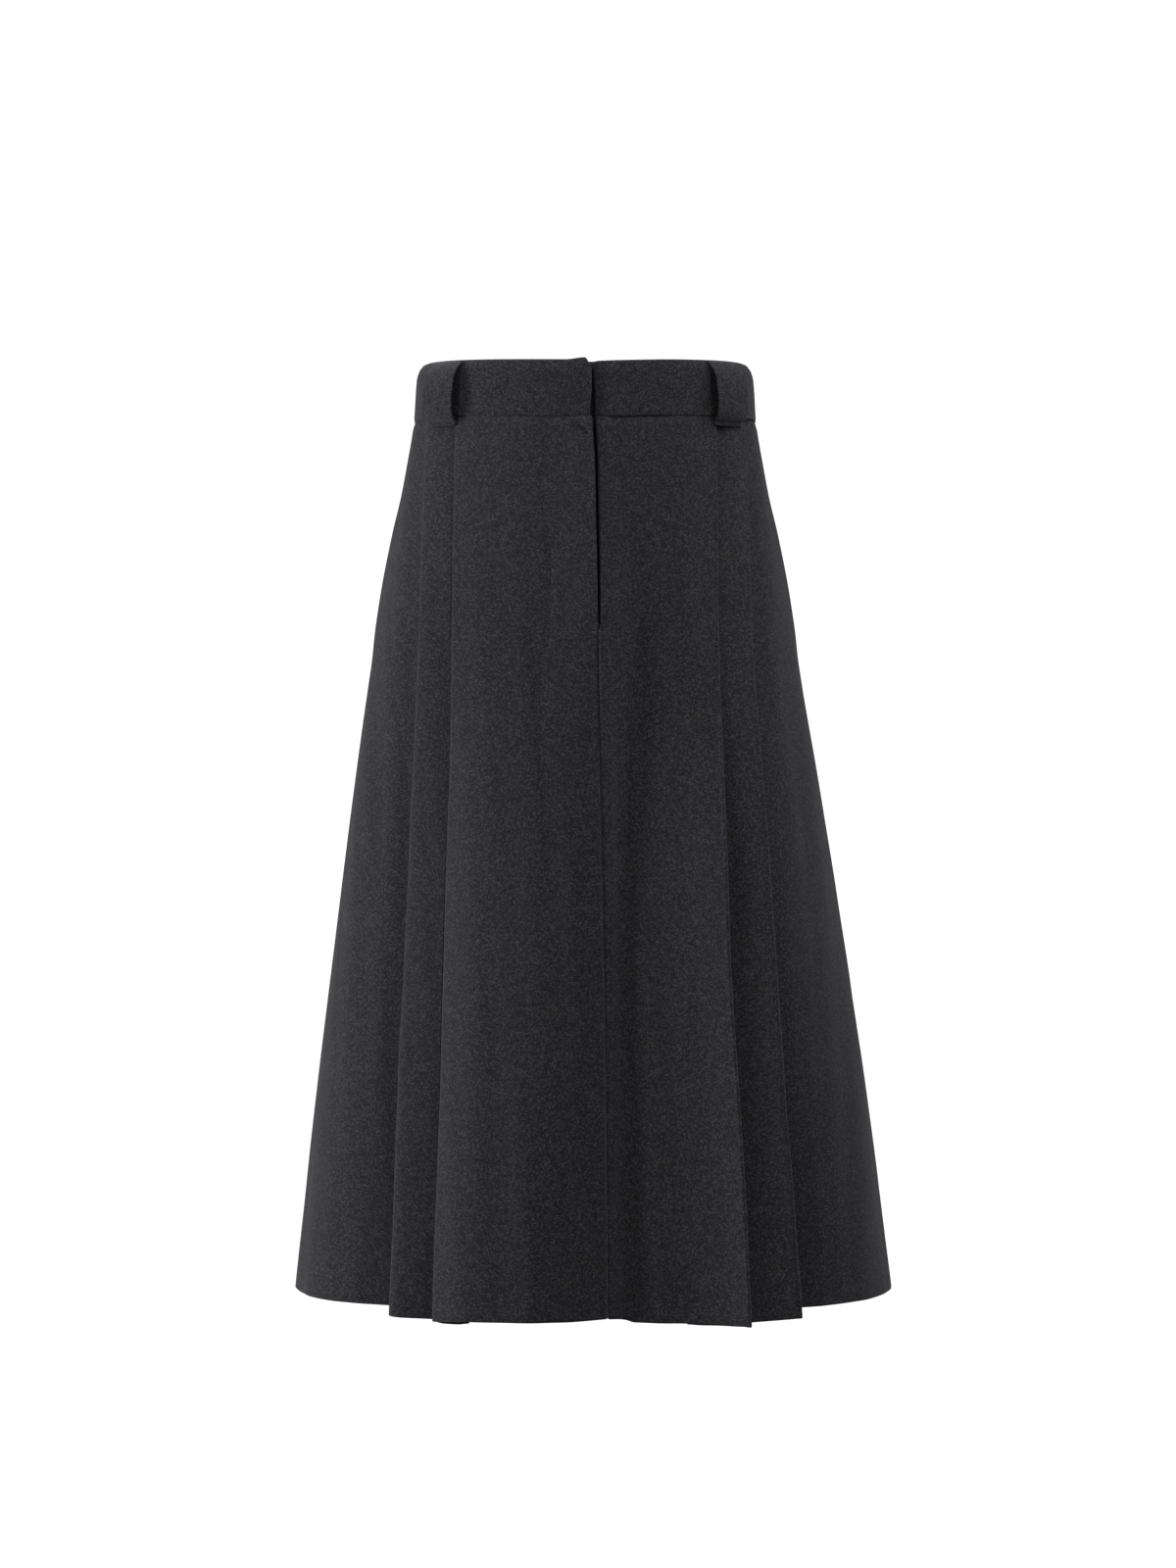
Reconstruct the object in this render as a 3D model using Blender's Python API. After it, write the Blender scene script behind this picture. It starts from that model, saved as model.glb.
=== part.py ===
"""Pleated midi skirt in heavy wool cloth, hollow and filled out as if worn.

The waistband is cut in two fronts and a back. The left front ends in a fly that laps over the right
front, and its end of the waistband laps over the right one. Each front holds two outward knife pleats,
stitched flat from the waist to the hip and open towards the hem. Two plain back panels meet at a centre
back seam. The side seams hold pocket mouths, each with its bag behind it. Four belt loops bridge the
waistband.

Every piece is laid out on one garment form. A place on it is (along, out, drop):
  along  millimetres round the form from the centre front line, positive towards +X
  out    millimetres outwards from the form, square to it
  drop   millimetres below the waistband's top edge
Blender's frame is in metres: +Z is up, the front faces -Y, and the origin is the centre of the waist at
half the waistband's height. Left and right are those of someone who looks at the front.
"""

import math
from bisect import bisect_right
from collections import namedtuple

import bmesh
import bpy

MM = 0.001

# ---------------------------------------------------------------- driving dimensions, in millimetres
LENGTH = 736.0  # waistband's top edge to the hem, at the centre front
BAND_HEIGHT = 44.0
SEAM_GAP = 0.3  # between two pieces that are sewn together
CLOTH = 1.2  # wall of a single layer
BAND_WALL = 2.4  # folded and interfaced double layer
LAYER_GAP = 0.6  # air between the folded layers of a pleat
PITCH = CLOTH + LAYER_GAP  # from one layer of a pleat to the next
TURN_RADIUS = PITCH / 2  # of a pleat's folded edge, to the middle of the cloth
STITCHED_TO = 200.0  # drop at which the stitched part of the pleats ends
HALFWAY = 393.0  # drop at which the open pleats' middle columns hold
OPENING_POWER = 0.85  # how the back's flares open from STITCHED_TO to the hem
UNEVEN_FROM = 400.0  # drop from which the hem's unevenness is felt
SIDE_SEAM_FORWARD = 9.0  # side seam in front of the widest place
SIDE_HEM_UP = 2.2  # hem at the side seams above the level
WAIST_TUCK = 1.2  # panels start this far in, where they are sewn to the waistband
WAIST_EASE = 8.0  # height over which they come back out
UNDER_FOLD_EASE = 30.0  # width over which the side panel comes out from under the outer pleat
UNDER_FOLD_LOW = 0.7  # hem of the cloth folded under a pleat hangs this far lower

FLY_END = 206.0  # drop at which the fly closes into the centre front seam
FLY_FOOT = 6.0  # height over which the right edge leaves the fly, and then eases to the seam
FLY_CLOSE = 14.0
FLY_TUCK = 6.0  # right front's edge runs this far under the fly
FLY_STAND = 1.0  # fly's edge stands this proud of the form, down to a little above its end
FLY_STAND_EASE = 80.0
FLY_GAPE = 4.0  # air under the fly's edge, at the waist and at its end
FLY_GAPE_END = 1.1
FLY_EASE = 28.0  # width over which both edges run back into the form

BAND_UNDERLAP = 36.0  # right waistband runs this far under the left one
BAND_DIP = 3.4  # and lies this far in
BAND_EASE = 22.0  # width over which it comes back out
LEFT_END_UP, LEFT_END_EASE = 1.6, 16.0  # left end's top edge stands up, the right one sits low
RIGHT_END_DOWN, RIGHT_END_EASE = 0.9, 70.0

POCKET_TOP, POCKET_FOOT = 100.0, 240.0  # drops of a pocket's mouth
POCKET_GAPE, POCKET_STAND = 2.6, 1.2  # front edge of the mouth, away from the seam and out
POCKET_EDGE_EASE = 20.0
BAG_WALL = 2.0  # its two layers lie face to face
BAG_BEHIND = 1.0  # air between the bag and the panels
BAG_PAST_SEAM = 5.0

LOOP_WIDTH, LOOP_WALL = 29.0, 1.4
LOOP_SHARE = {"front": 0.815, "back": 0.55}  # of the half width, to the middle of a belt loop

# ---------------------------------------------------------------- the garment form
# half_width, front and back are the form's reach from its middle to the side, to the front and to the
# back. square is the exponent of its rounded outline. lean is how far its middle stands towards +X, and
# lift how far the sides stand above the front.
Section = namedtuple("Section", "drop half_width front back square lean lift")
SECTIONS = (
    Section(0, 131.2, 86.0, 86.0, 2.25, 0.0, 4.4),
    Section(4, 134.0, 87.4, 87.6, 2.25, 0.0, 4.4),
    Section(10, 135.8, 88.6, 89.0, 2.25, 0.0, 4.4),
    Section(44, 138.2, 91.0, 92.0, 2.25, 0.0, 4.6),
    Section(82, 144.4, 96.5, 99.0, 2.25, 0.0, 4.0),
    Section(113, 150.4, 101.5, 107.0, 2.25, 0.0, 3.4),
    Section(175, 163.0, 112.0, 120.0, 2.24, 0.0, 2.2),
    Section(238, 172.6, 121.0, 129.0, 2.22, 0.0, 1.2),
    Section(331, 187.2, 132.0, 139.0, 2.18, 1.4, 0.4),
    Section(458, 205.2, 147.5, 152.0, 2.13, 3.4, 0.0),
    Section(585, 222.4, 163.5, 168.0, 2.09, 5.2, 0.0),
    Section(736, 239.8, 182.0, 187.0, 2.05, 6.9, 0.0),
)

# Lines that run down the front, as distances from the middle of the form: the centre front seam, which
# stands to the right, and the folded edges of the inner and the outer pleat on both sides.
FrontLine = namedtuple("FrontLine", "drop seam inner outer")
FRONT_LINES = (
    FrontLine(0, 4.2, 103.0, 126.0),
    FrontLine(44, 5.4, 103.2, 126.6),
    FrontLine(120, 9.0, 103.9, 129.0),
    FrontLine(206, 11.7, 104.4, 130.6),
    FrontLine(330, 11.2, 107.0, 136.5),
    FrontLine(480, 11.0, 111.0, 143.5),
    FrontLine(736, 10.7, 118.8, 156.6),
)

# Depth of the cloth that is folded under each pleat, at the waist and at the hem.
PleatDepth = namedtuple("PleatDepth", "waist hem")
INNER_PLEAT = {-1: PleatDepth(20.0, 28.0), 1: PleatDepth(20.0, 36.0)}
OUTER_PLEAT = {-1: PleatDepth(18.0, 32.0), 1: PleatDepth(18.0, 34.0)}

# How the layers of each front stand: share runs across the layer away from the centre, middle and foot are
# how far the cloth stands off the form halfway down and at the hem, and up is how far its hem hangs above
# the level.
Stand = namedtuple("Stand", "share middle foot up")
CENTRE_LAYER = {
    -1: (
        Stand(0, -4, -9, 0.6),
        Stand(0.22, -1.5, -1, -0.6),
        Stand(0.45, 0.5, 6, -0.7),
        Stand(0.75, -3, 10, -0.8),
        Stand(1, -7, 15, -4.0),
    ),
    1: (
        Stand(0, -4, -10, 0.2),
        Stand(0.08, -8, -18, -1.0),
        Stand(0.14, -12, -25, -2.4),
        Stand(0.22, -12, -15, -2.9),
        Stand(0.4, -9, -9, -3.2),
        Stand(0.6, -1.5, -2, -2.8),
        Stand(0.75, 7, 6, -2.1),
        Stand(0.88, 16, 17, -1.9),
        Stand(1, 25, 31, -2.4),
    ),
}
MIDDLE_LAYER = {
    -1: (
        Stand(0, -10, -6, -5.0),
        Stand(0.43, -15, -5, -3.5),
        Stand(0.78, -15, 1, -2.8),
        Stand(1, -14, 3, -2.2),
    ),
    1: (
        Stand(0, 2.5, -3, -4.1),
        Stand(0.28, 10, 5, -3.1),
        Stand(0.5, 16, 16, -1.8),
        Stand(1, 19, 21, -0.4),
    ),
}
SIDE_LAYER = {
    -1: (
        Stand(0, -18, -22, -1.2),
        Stand(0.22, -18, -27, 0.3),
        Stand(0.42, -12, -13, 1.0),
        Stand(0.62, -6, -2, 1.2),
        Stand(0.8, -2, 1, 1.5),
        Stand(1, 0, 0, SIDE_HEM_UP),
    ),
    1: (
        Stand(0, 8, -22, -2.0),
        Stand(0.22, 7, -27, -1.0),
        Stand(0.42, 4, -13, -0.1),
        Stand(0.62, 2, -3, 0.8),
        Stand(0.8, 1, 1, 1.4),
        Stand(1, 0, 0, SIDE_HEM_UP),
    ),
}

# How a pleat's folded edge rolls back: over what width, and how deep halfway down and at the hem.
Roll = namedtuple("Roll", "width middle foot")
INNER_ROLL = {-1: Roll(42.0, 7.0, 16.0), 1: Roll(7.0, 1.5, 2.0)}
OUTER_ROLL = {-1: Roll(10.0, 1.5, 3.0), 1: Roll(7.0, 1.0, 2.0)}

# Soft flares of each back panel at the hem: middle and half width as shares of the panel from the centre
# back to the side seam, and how far the cloth stands out.
Flare = namedtuple("Flare", "middle spread out")
BACK_FLARES = {
    -1: (Flare(0.0, 0.14, -5.0), Flare(0.27, 0.17, 9.0), Flare(0.55, 0.14, -6.0), Flare(0.79, 0.16, 7.0)),
    1: (Flare(0.0, 0.14, -5.0), Flare(0.31, 0.18, 8.0), Flare(0.59, 0.14, -7.0), Flare(0.81, 0.15, 6.0)),
}

# Edge of the waistband's left end: how far it stands past the centre front line.
EndEdge = namedtuple("EndEdge", "drop past")
LEFT_END_EDGE = (
    EndEdge(0, -1.6),
    EndEdge(6, 1.0),
    EndEdge(14, 2.5),
    EndEdge(28, 1.6),
    EndEdge(39, -0.5),
    EndEdge(44, -0.2),
)

# Middle line of a belt loop's strap, from the waistband's top edge to its foot below the waistband.
Bow = namedtuple("Bow", "out drop")
LOOP_BOW = (
    Bow(1.1, 0.9),
    Bow(2.6, 3.4),
    Bow(5.4, 9.0),
    Bow(8.2, 18.0),
    Bow(9.3, 30.0),
    Bow(8.2, 40.5),
    Bow(4.2, 46.8),
    Bow(1.4, 48.4),
    Bow(1.2, 51.5),
)

# Width of a pocket bag, from the side seam forwards.
Bag = namedtuple("Bag", "drop width")
BAG_SHAPE = (
    Bag(62, 46),
    Bag(84, 72),
    Bag(130, 92),
    Bag(190, 102),
    Bag(245, 98),
    Bag(280, 80),
    Bag(296, 52),
)

BAND_DROPS = (0, 2.5, 6, 14, 28, 38, BAND_HEIGHT)
PANEL_TOP = BAND_HEIGHT + SEAM_GAP
FRONT_DROPS = (
    *(PANEL_TOP, 49, 58, 85, 120, 165, FLY_END, FLY_END + FLY_FOOT, FLY_END + FLY_FOOT + FLY_CLOSE),
    *(260, 310, 370, 430, 500, 570, 640, 695, LENGTH),
)
BACK_DROPS = (PANEL_TOP, 49, 58, 95, 140, 190, 240, 300, 370, 440, 520, 600, 675, LENGTH)

# Columns of points across each stretch of cloth.
CENTRE_COLUMNS, MIDDLE_COLUMNS, SIDE_COLUMNS, UNDER_FOLD_COLUMNS = 13, 7, 12, 5
BACK_COLUMNS, BAG_COLUMNS, LOOP_COLUMNS = 22, 10, 6
BAND_LEFT_COLUMNS, BAND_RIGHT_COLUMNS, BAND_BACK_COLUMNS = 14, 18, 28

WOOL = (0.045, 0.045, 0.050)
BELT_LOOP_WOOL = (0.050, 0.050, 0.055)
POCKETING = (0.030, 0.030, 0.033)
WOOL_ROUGHNESS = 0.92


# ---------------------------------------------------------------- smooth columns
def slope_at(xs, ys, i):
    """Slope of the curve through the points at point i, chosen so that it never overshoots them."""
    if i == 0:
        return (ys[1] - ys[0]) / (xs[1] - xs[0])
    if i == len(xs) - 1:
        return (ys[-1] - ys[-2]) / (xs[-1] - xs[-2])
    before = (ys[i] - ys[i - 1]) / (xs[i] - xs[i - 1])
    after = (ys[i + 1] - ys[i]) / (xs[i + 1] - xs[i])
    if before * after <= 0:
        return 0.0
    return 2 * before * after / (before + after)


def smooth(xs, ys, x):
    """Value at x of a smooth curve through the points, held level outside them."""
    if x <= xs[0]:
        return ys[0]
    if x >= xs[-1]:
        return ys[-1]
    i = bisect_right(xs, x) - 1
    width = xs[i + 1] - xs[i]
    t = (x - xs[i]) / width
    rise = slope_at(xs, ys, i) * width
    fall = slope_at(xs, ys, i + 1) * width
    ends = ys[i] * (1 + 2 * t) * (1 - t) ** 2 + ys[i + 1] * t * t * (3 - 2 * t)
    return ends + rise * t * (1 - t) ** 2 - fall * t * t * (1 - t)


def column(table, name, x):
    """Named column of a table at x, where x is in the table's first column."""
    return smooth([row[0] for row in table], [getattr(row, name) for row in table], x)


def ease(x):
    """0 to 1, with level ends, as x goes from 0 to 1."""
    x = min(max(x, 0.0), 1.0)
    return x * x * (3 - 2 * x)


def spread(start, end, count):
    """count evenly spaced values from start to end."""
    return [start + (end - start) * i / (count - 1) for i in range(count)]


# ---------------------------------------------------------------- the form's outline at one drop
class Outline:
    """The form's rounded outline at one drop, measured by its length from the centre front."""

    STEPS = 120  # straight pieces in each quarter

    def __init__(self, drop):
        self.drop = drop
        self.section = Section(drop, *(column(SECTIONS, name, drop) for name in Section._fields[1:]))
        self.points = [self.corner(i) for i in range(2 * self.STEPS + 1)]
        self.lengths = [0.0]
        for here, there in zip(self.points, self.points[1:]):
            self.lengths.append(self.lengths[-1] + math.dist(here, there))
        self.side = self.lengths[self.STEPS]
        self.back = self.lengths[-1]
        self.seam = self.side - SIDE_SEAM_FORWARD

    def corner(self, i):
        """Point i of the right half: the centre front is 0, the side STEPS and the centre back the last."""
        angle = math.pi / 2 * (i / self.STEPS - 1)
        across = abs(math.cos(angle)) ** (2 / self.section.square)
        deep = abs(math.sin(angle)) ** (2 / self.section.square)
        reach = -self.section.front if i < self.STEPS else self.section.back
        return self.section.half_width * across, reach * deep

    def normal(self, x, y):
        """Outward direction of the outline at its point (x, y)."""
        reach = self.section.front if y < 0 else self.section.back
        power = self.section.square - 1
        nx = (abs(x) / self.section.half_width) ** power / self.section.half_width
        ny = math.copysign((abs(y) / reach) ** power / reach, y)
        size = math.hypot(nx, ny)
        return nx / size, ny / size

    def plan(self, along, out):
        """(x, y) of a place in plan, before the form's lean."""
        past_back = abs(along) > self.back
        length = 2 * self.back - abs(along) if past_back else abs(along)
        i = min(bisect_right(self.lengths, length) - 1, len(self.lengths) - 2)
        share = (length - self.lengths[i]) / (self.lengths[i + 1] - self.lengths[i])
        (x0, y0), (x1, y1) = self.points[i], self.points[i + 1]
        x, y = x0 + (x1 - x0) * share, y0 + (y1 - y0) * share
        nx, ny = self.normal(x, y)
        x, y = x + nx * out, y + ny * out
        return math.copysign(x, -along if past_back else along), y

    def place(self, along, out, up=0.0):
        """Point in the model's frame, in metres."""
        x, y = self.plan(along, out)
        lift = self.section.lift * (x / self.section.half_width) ** 2
        z = BAND_HEIGHT / 2 - self.drop + lift + up
        return (x + self.section.lean) * MM, y * MM, z * MM

    def along_at(self, x, out=0.0, on_back=False):
        """Length along the right half to the place, standing out, that lies at x."""
        low, high = (self.side, self.back) if on_back else (0.0, self.side)
        for _ in range(40):
            middle = (low + high) / 2
            if (self.plan(middle, out)[0] < x) != on_back:
                low = middle
            else:
                high = middle
        return low

    def front_line(self, name, out=0.0):
        """Length from the centre front to one of the lines that run down the front."""
        return self.along_at(column(FRONT_LINES, name, self.drop), out)


def opening_at(drop):
    """How far the flares have opened: 0 down to the end of the pleats' stitching, 1 at the hem."""
    return (max(drop - STITCHED_TO, 0.0) / (LENGTH - STITCHED_TO)) ** OPENING_POWER


def opened(drop, middle, foot):
    """Value that grows from 0 where the stitching ends, through middle, to foot at the hem."""
    return smooth((STITCHED_TO, HALFWAY, LENGTH), (0.0, middle, foot), drop)


def hang_at(drop):
    """How much of the hem's unevenness is felt at this drop."""
    return (max(drop - UNEVEN_FROM, 0.0) / (LENGTH - UNEVEN_FROM)) ** 2


def waist_tuck(drop):
    """How far in a panel lies near the seam that joins it to the waistband."""
    return WAIST_TUCK * (1 - ease((drop - BAND_HEIGHT) / WAIST_EASE))


def mouth_at(drop):
    """How far a pocket's mouth gapes: 0 at its ends and outside them, 1 along its middle."""
    share = (drop - POCKET_TOP) / (POCKET_FOOT - POCKET_TOP)
    return ease(4 * share) * ease(4 * (1 - share))


# ---------------------------------------------------------------- walls
def offset(path, distance):
    """The plane path moved sideways, mitred at its corners."""
    normals = []
    for start, end in zip(path, path[1:]):
        length = math.dist(start, end)
        normals.append(((start[1] - end[1]) / length, (end[0] - start[0]) / length))
    moved = []
    for i, here in enumerate(path):
        before, after = normals[max(i - 1, 0)], normals[min(i, len(normals) - 1)]
        nx, ny = (before[0] + after[0]) / 2, (before[1] + after[1]) / 2
        stretch = distance / (nx * nx + ny * ny)
        moved.append((here[0] + nx * stretch, here[1] + ny * stretch))
    return moved


def closed_shell(name, outer, inner, material):
    """Solid between two grids of points, with its four edges closed."""
    mesh = bmesh.new()
    sheets = [[[mesh.verts.new(point) for point in row] for row in grid] for grid in (outer, inner)]
    rows, columns = len(outer), len(outer[0])
    for sheet in sheets:
        for i in range(rows - 1):
            for j in range(columns - 1):
                mesh.faces.new((sheet[i][j], sheet[i][j + 1], sheet[i + 1][j + 1], sheet[i + 1][j]))
    rim = [(0, j) for j in range(columns)]
    rim += [(i, columns - 1) for i in range(1, rows)]
    rim += [(rows - 1, j) for j in range(columns - 2, -1, -1)]
    rim += [(i, 0) for i in range(rows - 2, 0, -1)]
    for (i, j), (k, m) in zip(rim, rim[1:] + rim[:1]):
        mesh.faces.new((sheets[0][i][j], sheets[0][k][m], sheets[1][k][m], sheets[1][i][j]))
    bmesh.ops.recalc_face_normals(mesh, faces=mesh.faces)
    data = bpy.data.meshes.new(name)
    mesh.to_mesh(data)
    mesh.free()
    data.materials.append(material)
    data.shade_smooth()
    data.set_sharp_from_angle(angle=math.radians(50))
    piece = bpy.data.objects.new(name, data)
    bpy.context.scene.collection.objects.link(piece)
    return piece


def wall(name, drops, path_at, thickness, material):
    """Wall whose outer face follows path_at(outline), a list of (along, out, up), at each drop."""
    outer, inner = [], []
    for drop in drops:
        outline = Outline(drop)
        path = path_at(outline)
        middle = [(along, out - thickness / 2) for along, out, _ in path]
        outwards = math.copysign(thickness / 2, path[-1][0] - path[0][0])
        for grid, distance in ((outer, outwards), (inner, -outwards)):
            moved = offset(middle, distance)
            grid.append([outline.place(along, out, up) for (along, out), (_, _, up) in zip(moved, path)])
    return closed_shell(name, outer, inner, material)


# ---------------------------------------------------------------- fronts
class FrontLayers:
    """The three layers of one front at one drop, by lengths from the centre front towards the side."""

    def __init__(self, outline, side):
        self.drop = outline.drop
        self.side = side
        self.hang = hang_at(self.drop)
        self.inner = outline.front_line("inner", self.edge_stand(CENTRE_LAYER, INNER_ROLL))
        self.outer = outline.front_line("outer", self.edge_stand(MIDDLE_LAYER, OUTER_ROLL))
        down = (self.drop - BAND_HEIGHT) / (LENGTH - BAND_HEIGHT)
        inner_depth, outer_depth = INNER_PLEAT[side], OUTER_PLEAT[side]
        self.inner_root = self.inner - inner_depth.waist - (inner_depth.hem - inner_depth.waist) * down
        self.outer_root = self.outer - outer_depth.waist - (outer_depth.hem - outer_depth.waist) * down
        self.edge = outline.seam - SEAM_GAP / 2
        self.set_centre_edge(outline.front_line("seam"))

    def set_centre_edge(self, seam):
        """Where the centre edge lies: the left one ends the fly, the right one is tucked under it."""
        if self.side < 0:
            self.start = -seam + SEAM_GAP / 2
            self.edge_out = FLY_STAND * ease((FLY_END - self.drop) / FLY_STAND_EASE)
            return
        foot = FLY_END + FLY_FOOT
        tucked = min(max((foot - self.drop) / FLY_FOOT, 0.0), 1.0)
        self.start = seam - FLY_TUCK * tucked + SEAM_GAP / 2
        gape = FLY_GAPE + (FLY_GAPE_END - FLY_GAPE) * min(self.drop / FLY_END, 1.0)
        self.edge_out = -(gape + CLOTH) * ease((foot + FLY_CLOSE - self.drop) / FLY_CLOSE)

    def edge_stand(self, layers, rolls):
        """How far a layer's folded edge stands off the form."""
        layer, roll = layers[self.side][-1], rolls[self.side]
        return opened(self.drop, layer.middle - roll.middle, layer.foot - roll.foot)

    def stand(self, table, share):
        """(out, up) that a layer's table gives at this drop, near the waist seam a little in."""
        out = opened(self.drop, column(table, "middle", share), column(table, "foot", share))
        return out - waist_tuck(self.drop), column(table, "up", share) * self.hang

    def rolled_back(self, roll, along, edge):
        """How far back the cloth has rolled near a folded edge."""
        near = min(max(1 - (edge - along) / roll.width, 0.0), 1.0)
        return opened(self.drop, roll.middle, roll.foot) * near * near

    def sunk_under_inner(self, along):
        """How far in the cloth lies where it comes out from under the inner pleat."""
        return 2 * PITCH * (1 - ease((along - self.inner) / (self.outer - self.inner)))

    def centre_layer(self, along):
        out, up = self.stand(CENTRE_LAYER[self.side], (along - self.start) / (self.inner - self.start))
        out += self.edge_out * (1 - ease((along - self.start) / FLY_EASE))
        return out - self.rolled_back(INNER_ROLL[self.side], along, self.inner), up

    def middle_layer(self, along):
        share = (along - self.inner_root) / (self.outer - self.inner_root)
        out, up = self.stand(MIDDLE_LAYER[self.side], share)
        out -= self.sunk_under_inner(along)
        return out - self.rolled_back(OUTER_ROLL[self.side], along, self.outer), up

    def side_layer(self, along):
        share = (along - self.outer_root) / (self.edge - self.outer_root)
        out, up = self.stand(SIDE_LAYER[self.side], share)
        sunk = 2 * PITCH * (1 - ease((along - self.outer) / UNDER_FOLD_EASE))
        return out - sunk - self.sunk_under_inner(along), up

    def fold(self, layer, next_layer, edge, root):
        """Path round a pleat's folded edge, back under it, and round its root to the next layer."""
        edge -= TURN_RADIUS
        root += TURN_RADIUS
        (top, top_up), (foot, foot_up) = layer(edge), next_layer(root)
        fall = math.atan(2 * (layer(edge - 0.5)[0] - top))
        start = edge - PITCH * math.sin(fall)
        behind = top - PITCH * math.cos(fall) - layer(start)[0]
        path = turn(edge, top, top_up, 1, fall)
        for share in spread(0, 1, UNDER_FOLD_COLUMNS):
            along = start + (root - start) * share
            out = (layer(along)[0] + behind) * (1 - share) + (next_layer(along)[0] + PITCH) * share
            low = UNDER_FOLD_LOW * self.hang * ease(4 * share) * ease(4 - 4 * share)
            path.append((along, out, top_up + (foot_up - top_up) * share - low))
        return path + turn(root, foot + PITCH, foot_up, -1)

    def path(self):
        """The whole front from the centre, through both pleats, to the side seam."""
        mouth = mouth_at(self.drop)
        edge = self.edge - POCKET_GAPE * mouth
        centre = spread(self.start, self.inner - TURN_RADIUS, CENTRE_COLUMNS)
        middle = spread(self.inner_root + TURN_RADIUS, self.outer - TURN_RADIUS, MIDDLE_COLUMNS)
        path = [(along, *self.centre_layer(along)) for along in centre]
        path += self.fold(self.centre_layer, self.middle_layer, self.inner, self.inner_root)
        path += [(along, *self.middle_layer(along)) for along in middle]
        path += self.fold(self.middle_layer, self.side_layer, self.outer, self.outer_root)
        for along in spread(self.outer_root + TURN_RADIUS, edge, SIDE_COLUMNS):
            out, up = self.side_layer(along)
            out += POCKET_STAND * mouth * ease((along - edge) / POCKET_EDGE_EASE + 1)
            path.append((along, out, up))
        return path


def turn(along, out, up, towards, fall=0.0):
    """Points of a round turn from one layer to the next one in, without its two ends.

    It starts at (along, out), where the layer falls away at the angle fall, and bulges towards +along (1)
    or -along (-1).
    """
    points = []
    for step in (0.25, 0.5, 0.75):
        angle = fall + math.pi * step
        across = TURN_RADIUS * (math.sin(angle) - math.sin(fall))
        back = TURN_RADIUS * (math.cos(fall) - math.cos(angle))
        points.append((along + towards * across, out - back, up))
    return points


def mirrored(path, side):
    """The path on the side of the form that side names: -1 is left, 1 is right."""
    return [(side * along, out, up) for along, out, up in path]


def front(name, side, material):
    return wall(
        name,
        FRONT_DROPS,
        lambda outline: mirrored(FrontLayers(outline, side).path(), side),
        CLOTH,
        material,
    )


# ---------------------------------------------------------------- backs
def back(name, side, material):
    """Plain back panel from the side seam to the centre back, with soft flares at the hem."""

    def path_at(outline):
        start, end = outline.seam + SEAM_GAP / 2, outline.back - SEAM_GAP / 2
        path = []
        for along in spread(start, end, BACK_COLUMNS):
            share = (outline.back - along) / (outline.back - outline.seam)
            out = 0.0
            for flare in BACK_FLARES[side]:
                out += flare.out * (1 - ease(abs(share - flare.middle) / flare.spread))
            up = SIDE_HEM_UP * ease(4 * share - 3) * hang_at(outline.drop)
            path.append((along, out * opening_at(outline.drop) - waist_tuck(outline.drop), up))
        return mirrored(path, side)

    return wall(name, BACK_DROPS, path_at, CLOTH, material)


# ---------------------------------------------------------------- waistband
def waistband_front_left(name, material):
    """Left end of the waistband, which laps over the right one at the fly."""

    def path_at(outline):
        past = column(LEFT_END_EDGE, "past", outline.drop)
        start, end = SEAM_GAP / 2 - outline.front_line("seam") - past, outline.seam - SEAM_GAP / 2
        path = []
        for along in spread(start, end, BAND_LEFT_COLUMNS):
            lapped = 1 - ease((along - start) / LEFT_END_EASE)
            path.append((along, 0.0, LEFT_END_UP * lapped * (1 - outline.drop / BAND_HEIGHT)))
        return mirrored(path, -1)

    return wall(name, BAND_DROPS, path_at, BAND_WALL, material)


def waistband_front_right(name, material):
    """Right end of the waistband, which runs on under the left one."""

    def path_at(outline):
        lap = outline.front_line("seam")
        path = []
        for along in spread(lap - BAND_UNDERLAP, outline.seam - SEAM_GAP / 2, BAND_RIGHT_COLUMNS):
            under = 1 - ease((along - lap) / BAND_EASE)
            low = 1 - ease((along - lap) / RIGHT_END_EASE)
            down = RIGHT_END_DOWN * low * (1 - outline.drop / BAND_HEIGHT)
            path.append((along, -BAND_DIP * under, -down))
        return path

    return wall(name, BAND_DROPS, path_at, BAND_WALL, material)


def waistband_back(name, material):
    def path_at(outline):
        start = outline.seam + SEAM_GAP / 2
        end = 2 * outline.back - start
        return [(along, 0.0, 0.0) for along in spread(start, end, BAND_BACK_COLUMNS)]

    return wall(name, BAND_DROPS, path_at, BAND_WALL, material)


# ---------------------------------------------------------------- belt loops and pockets
def belt_loop(name, side, place, material):
    """Strap that is sewn on at the waistband's top edge, bows away from it and is sewn below its seam."""
    grids = []
    for distance in (-LOOP_WALL / 2, LOOP_WALL / 2):
        grid = []
        for out, drop in offset(LOOP_BOW, distance):
            outline = Outline(drop)
            x = LOOP_SHARE[place] * outline.section.half_width
            middle = outline.along_at(x, on_back=place == "back")
            across = spread(middle - LOOP_WIDTH / 2, middle + LOOP_WIDTH / 2, LOOP_COLUMNS)
            grid.append([outline.place(side * along, out) for along in across])
        grids.append(grid)
    return closed_shell(name, *grids, material)


def pocket_bag(name, side, material):
    """Flat bag that hangs behind a pocket's mouth, close behind the front and clear of its pleats."""

    def path_at(outline):
        layers = FrontLayers(outline, side)
        width = column(BAG_SHAPE, "width", outline.drop)
        path = []
        for along in spread(outline.seam - width, outline.seam + BAG_PAST_SEAM, BAG_COLUMNS):
            out, _ = layers.side_layer(max(along, layers.outer_root))
            path.append((along, out - CLOTH - BAG_BEHIND, 0.0))
        return mirrored(path, side)

    top, foot = BAG_SHAPE[0].drop, BAG_SHAPE[-1].drop
    drops = {row.drop for row in BAG_SHAPE} | {drop for drop in FRONT_DROPS if top < drop < foot}
    return wall(name, sorted(drops), path_at, BAG_WALL, material)


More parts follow.
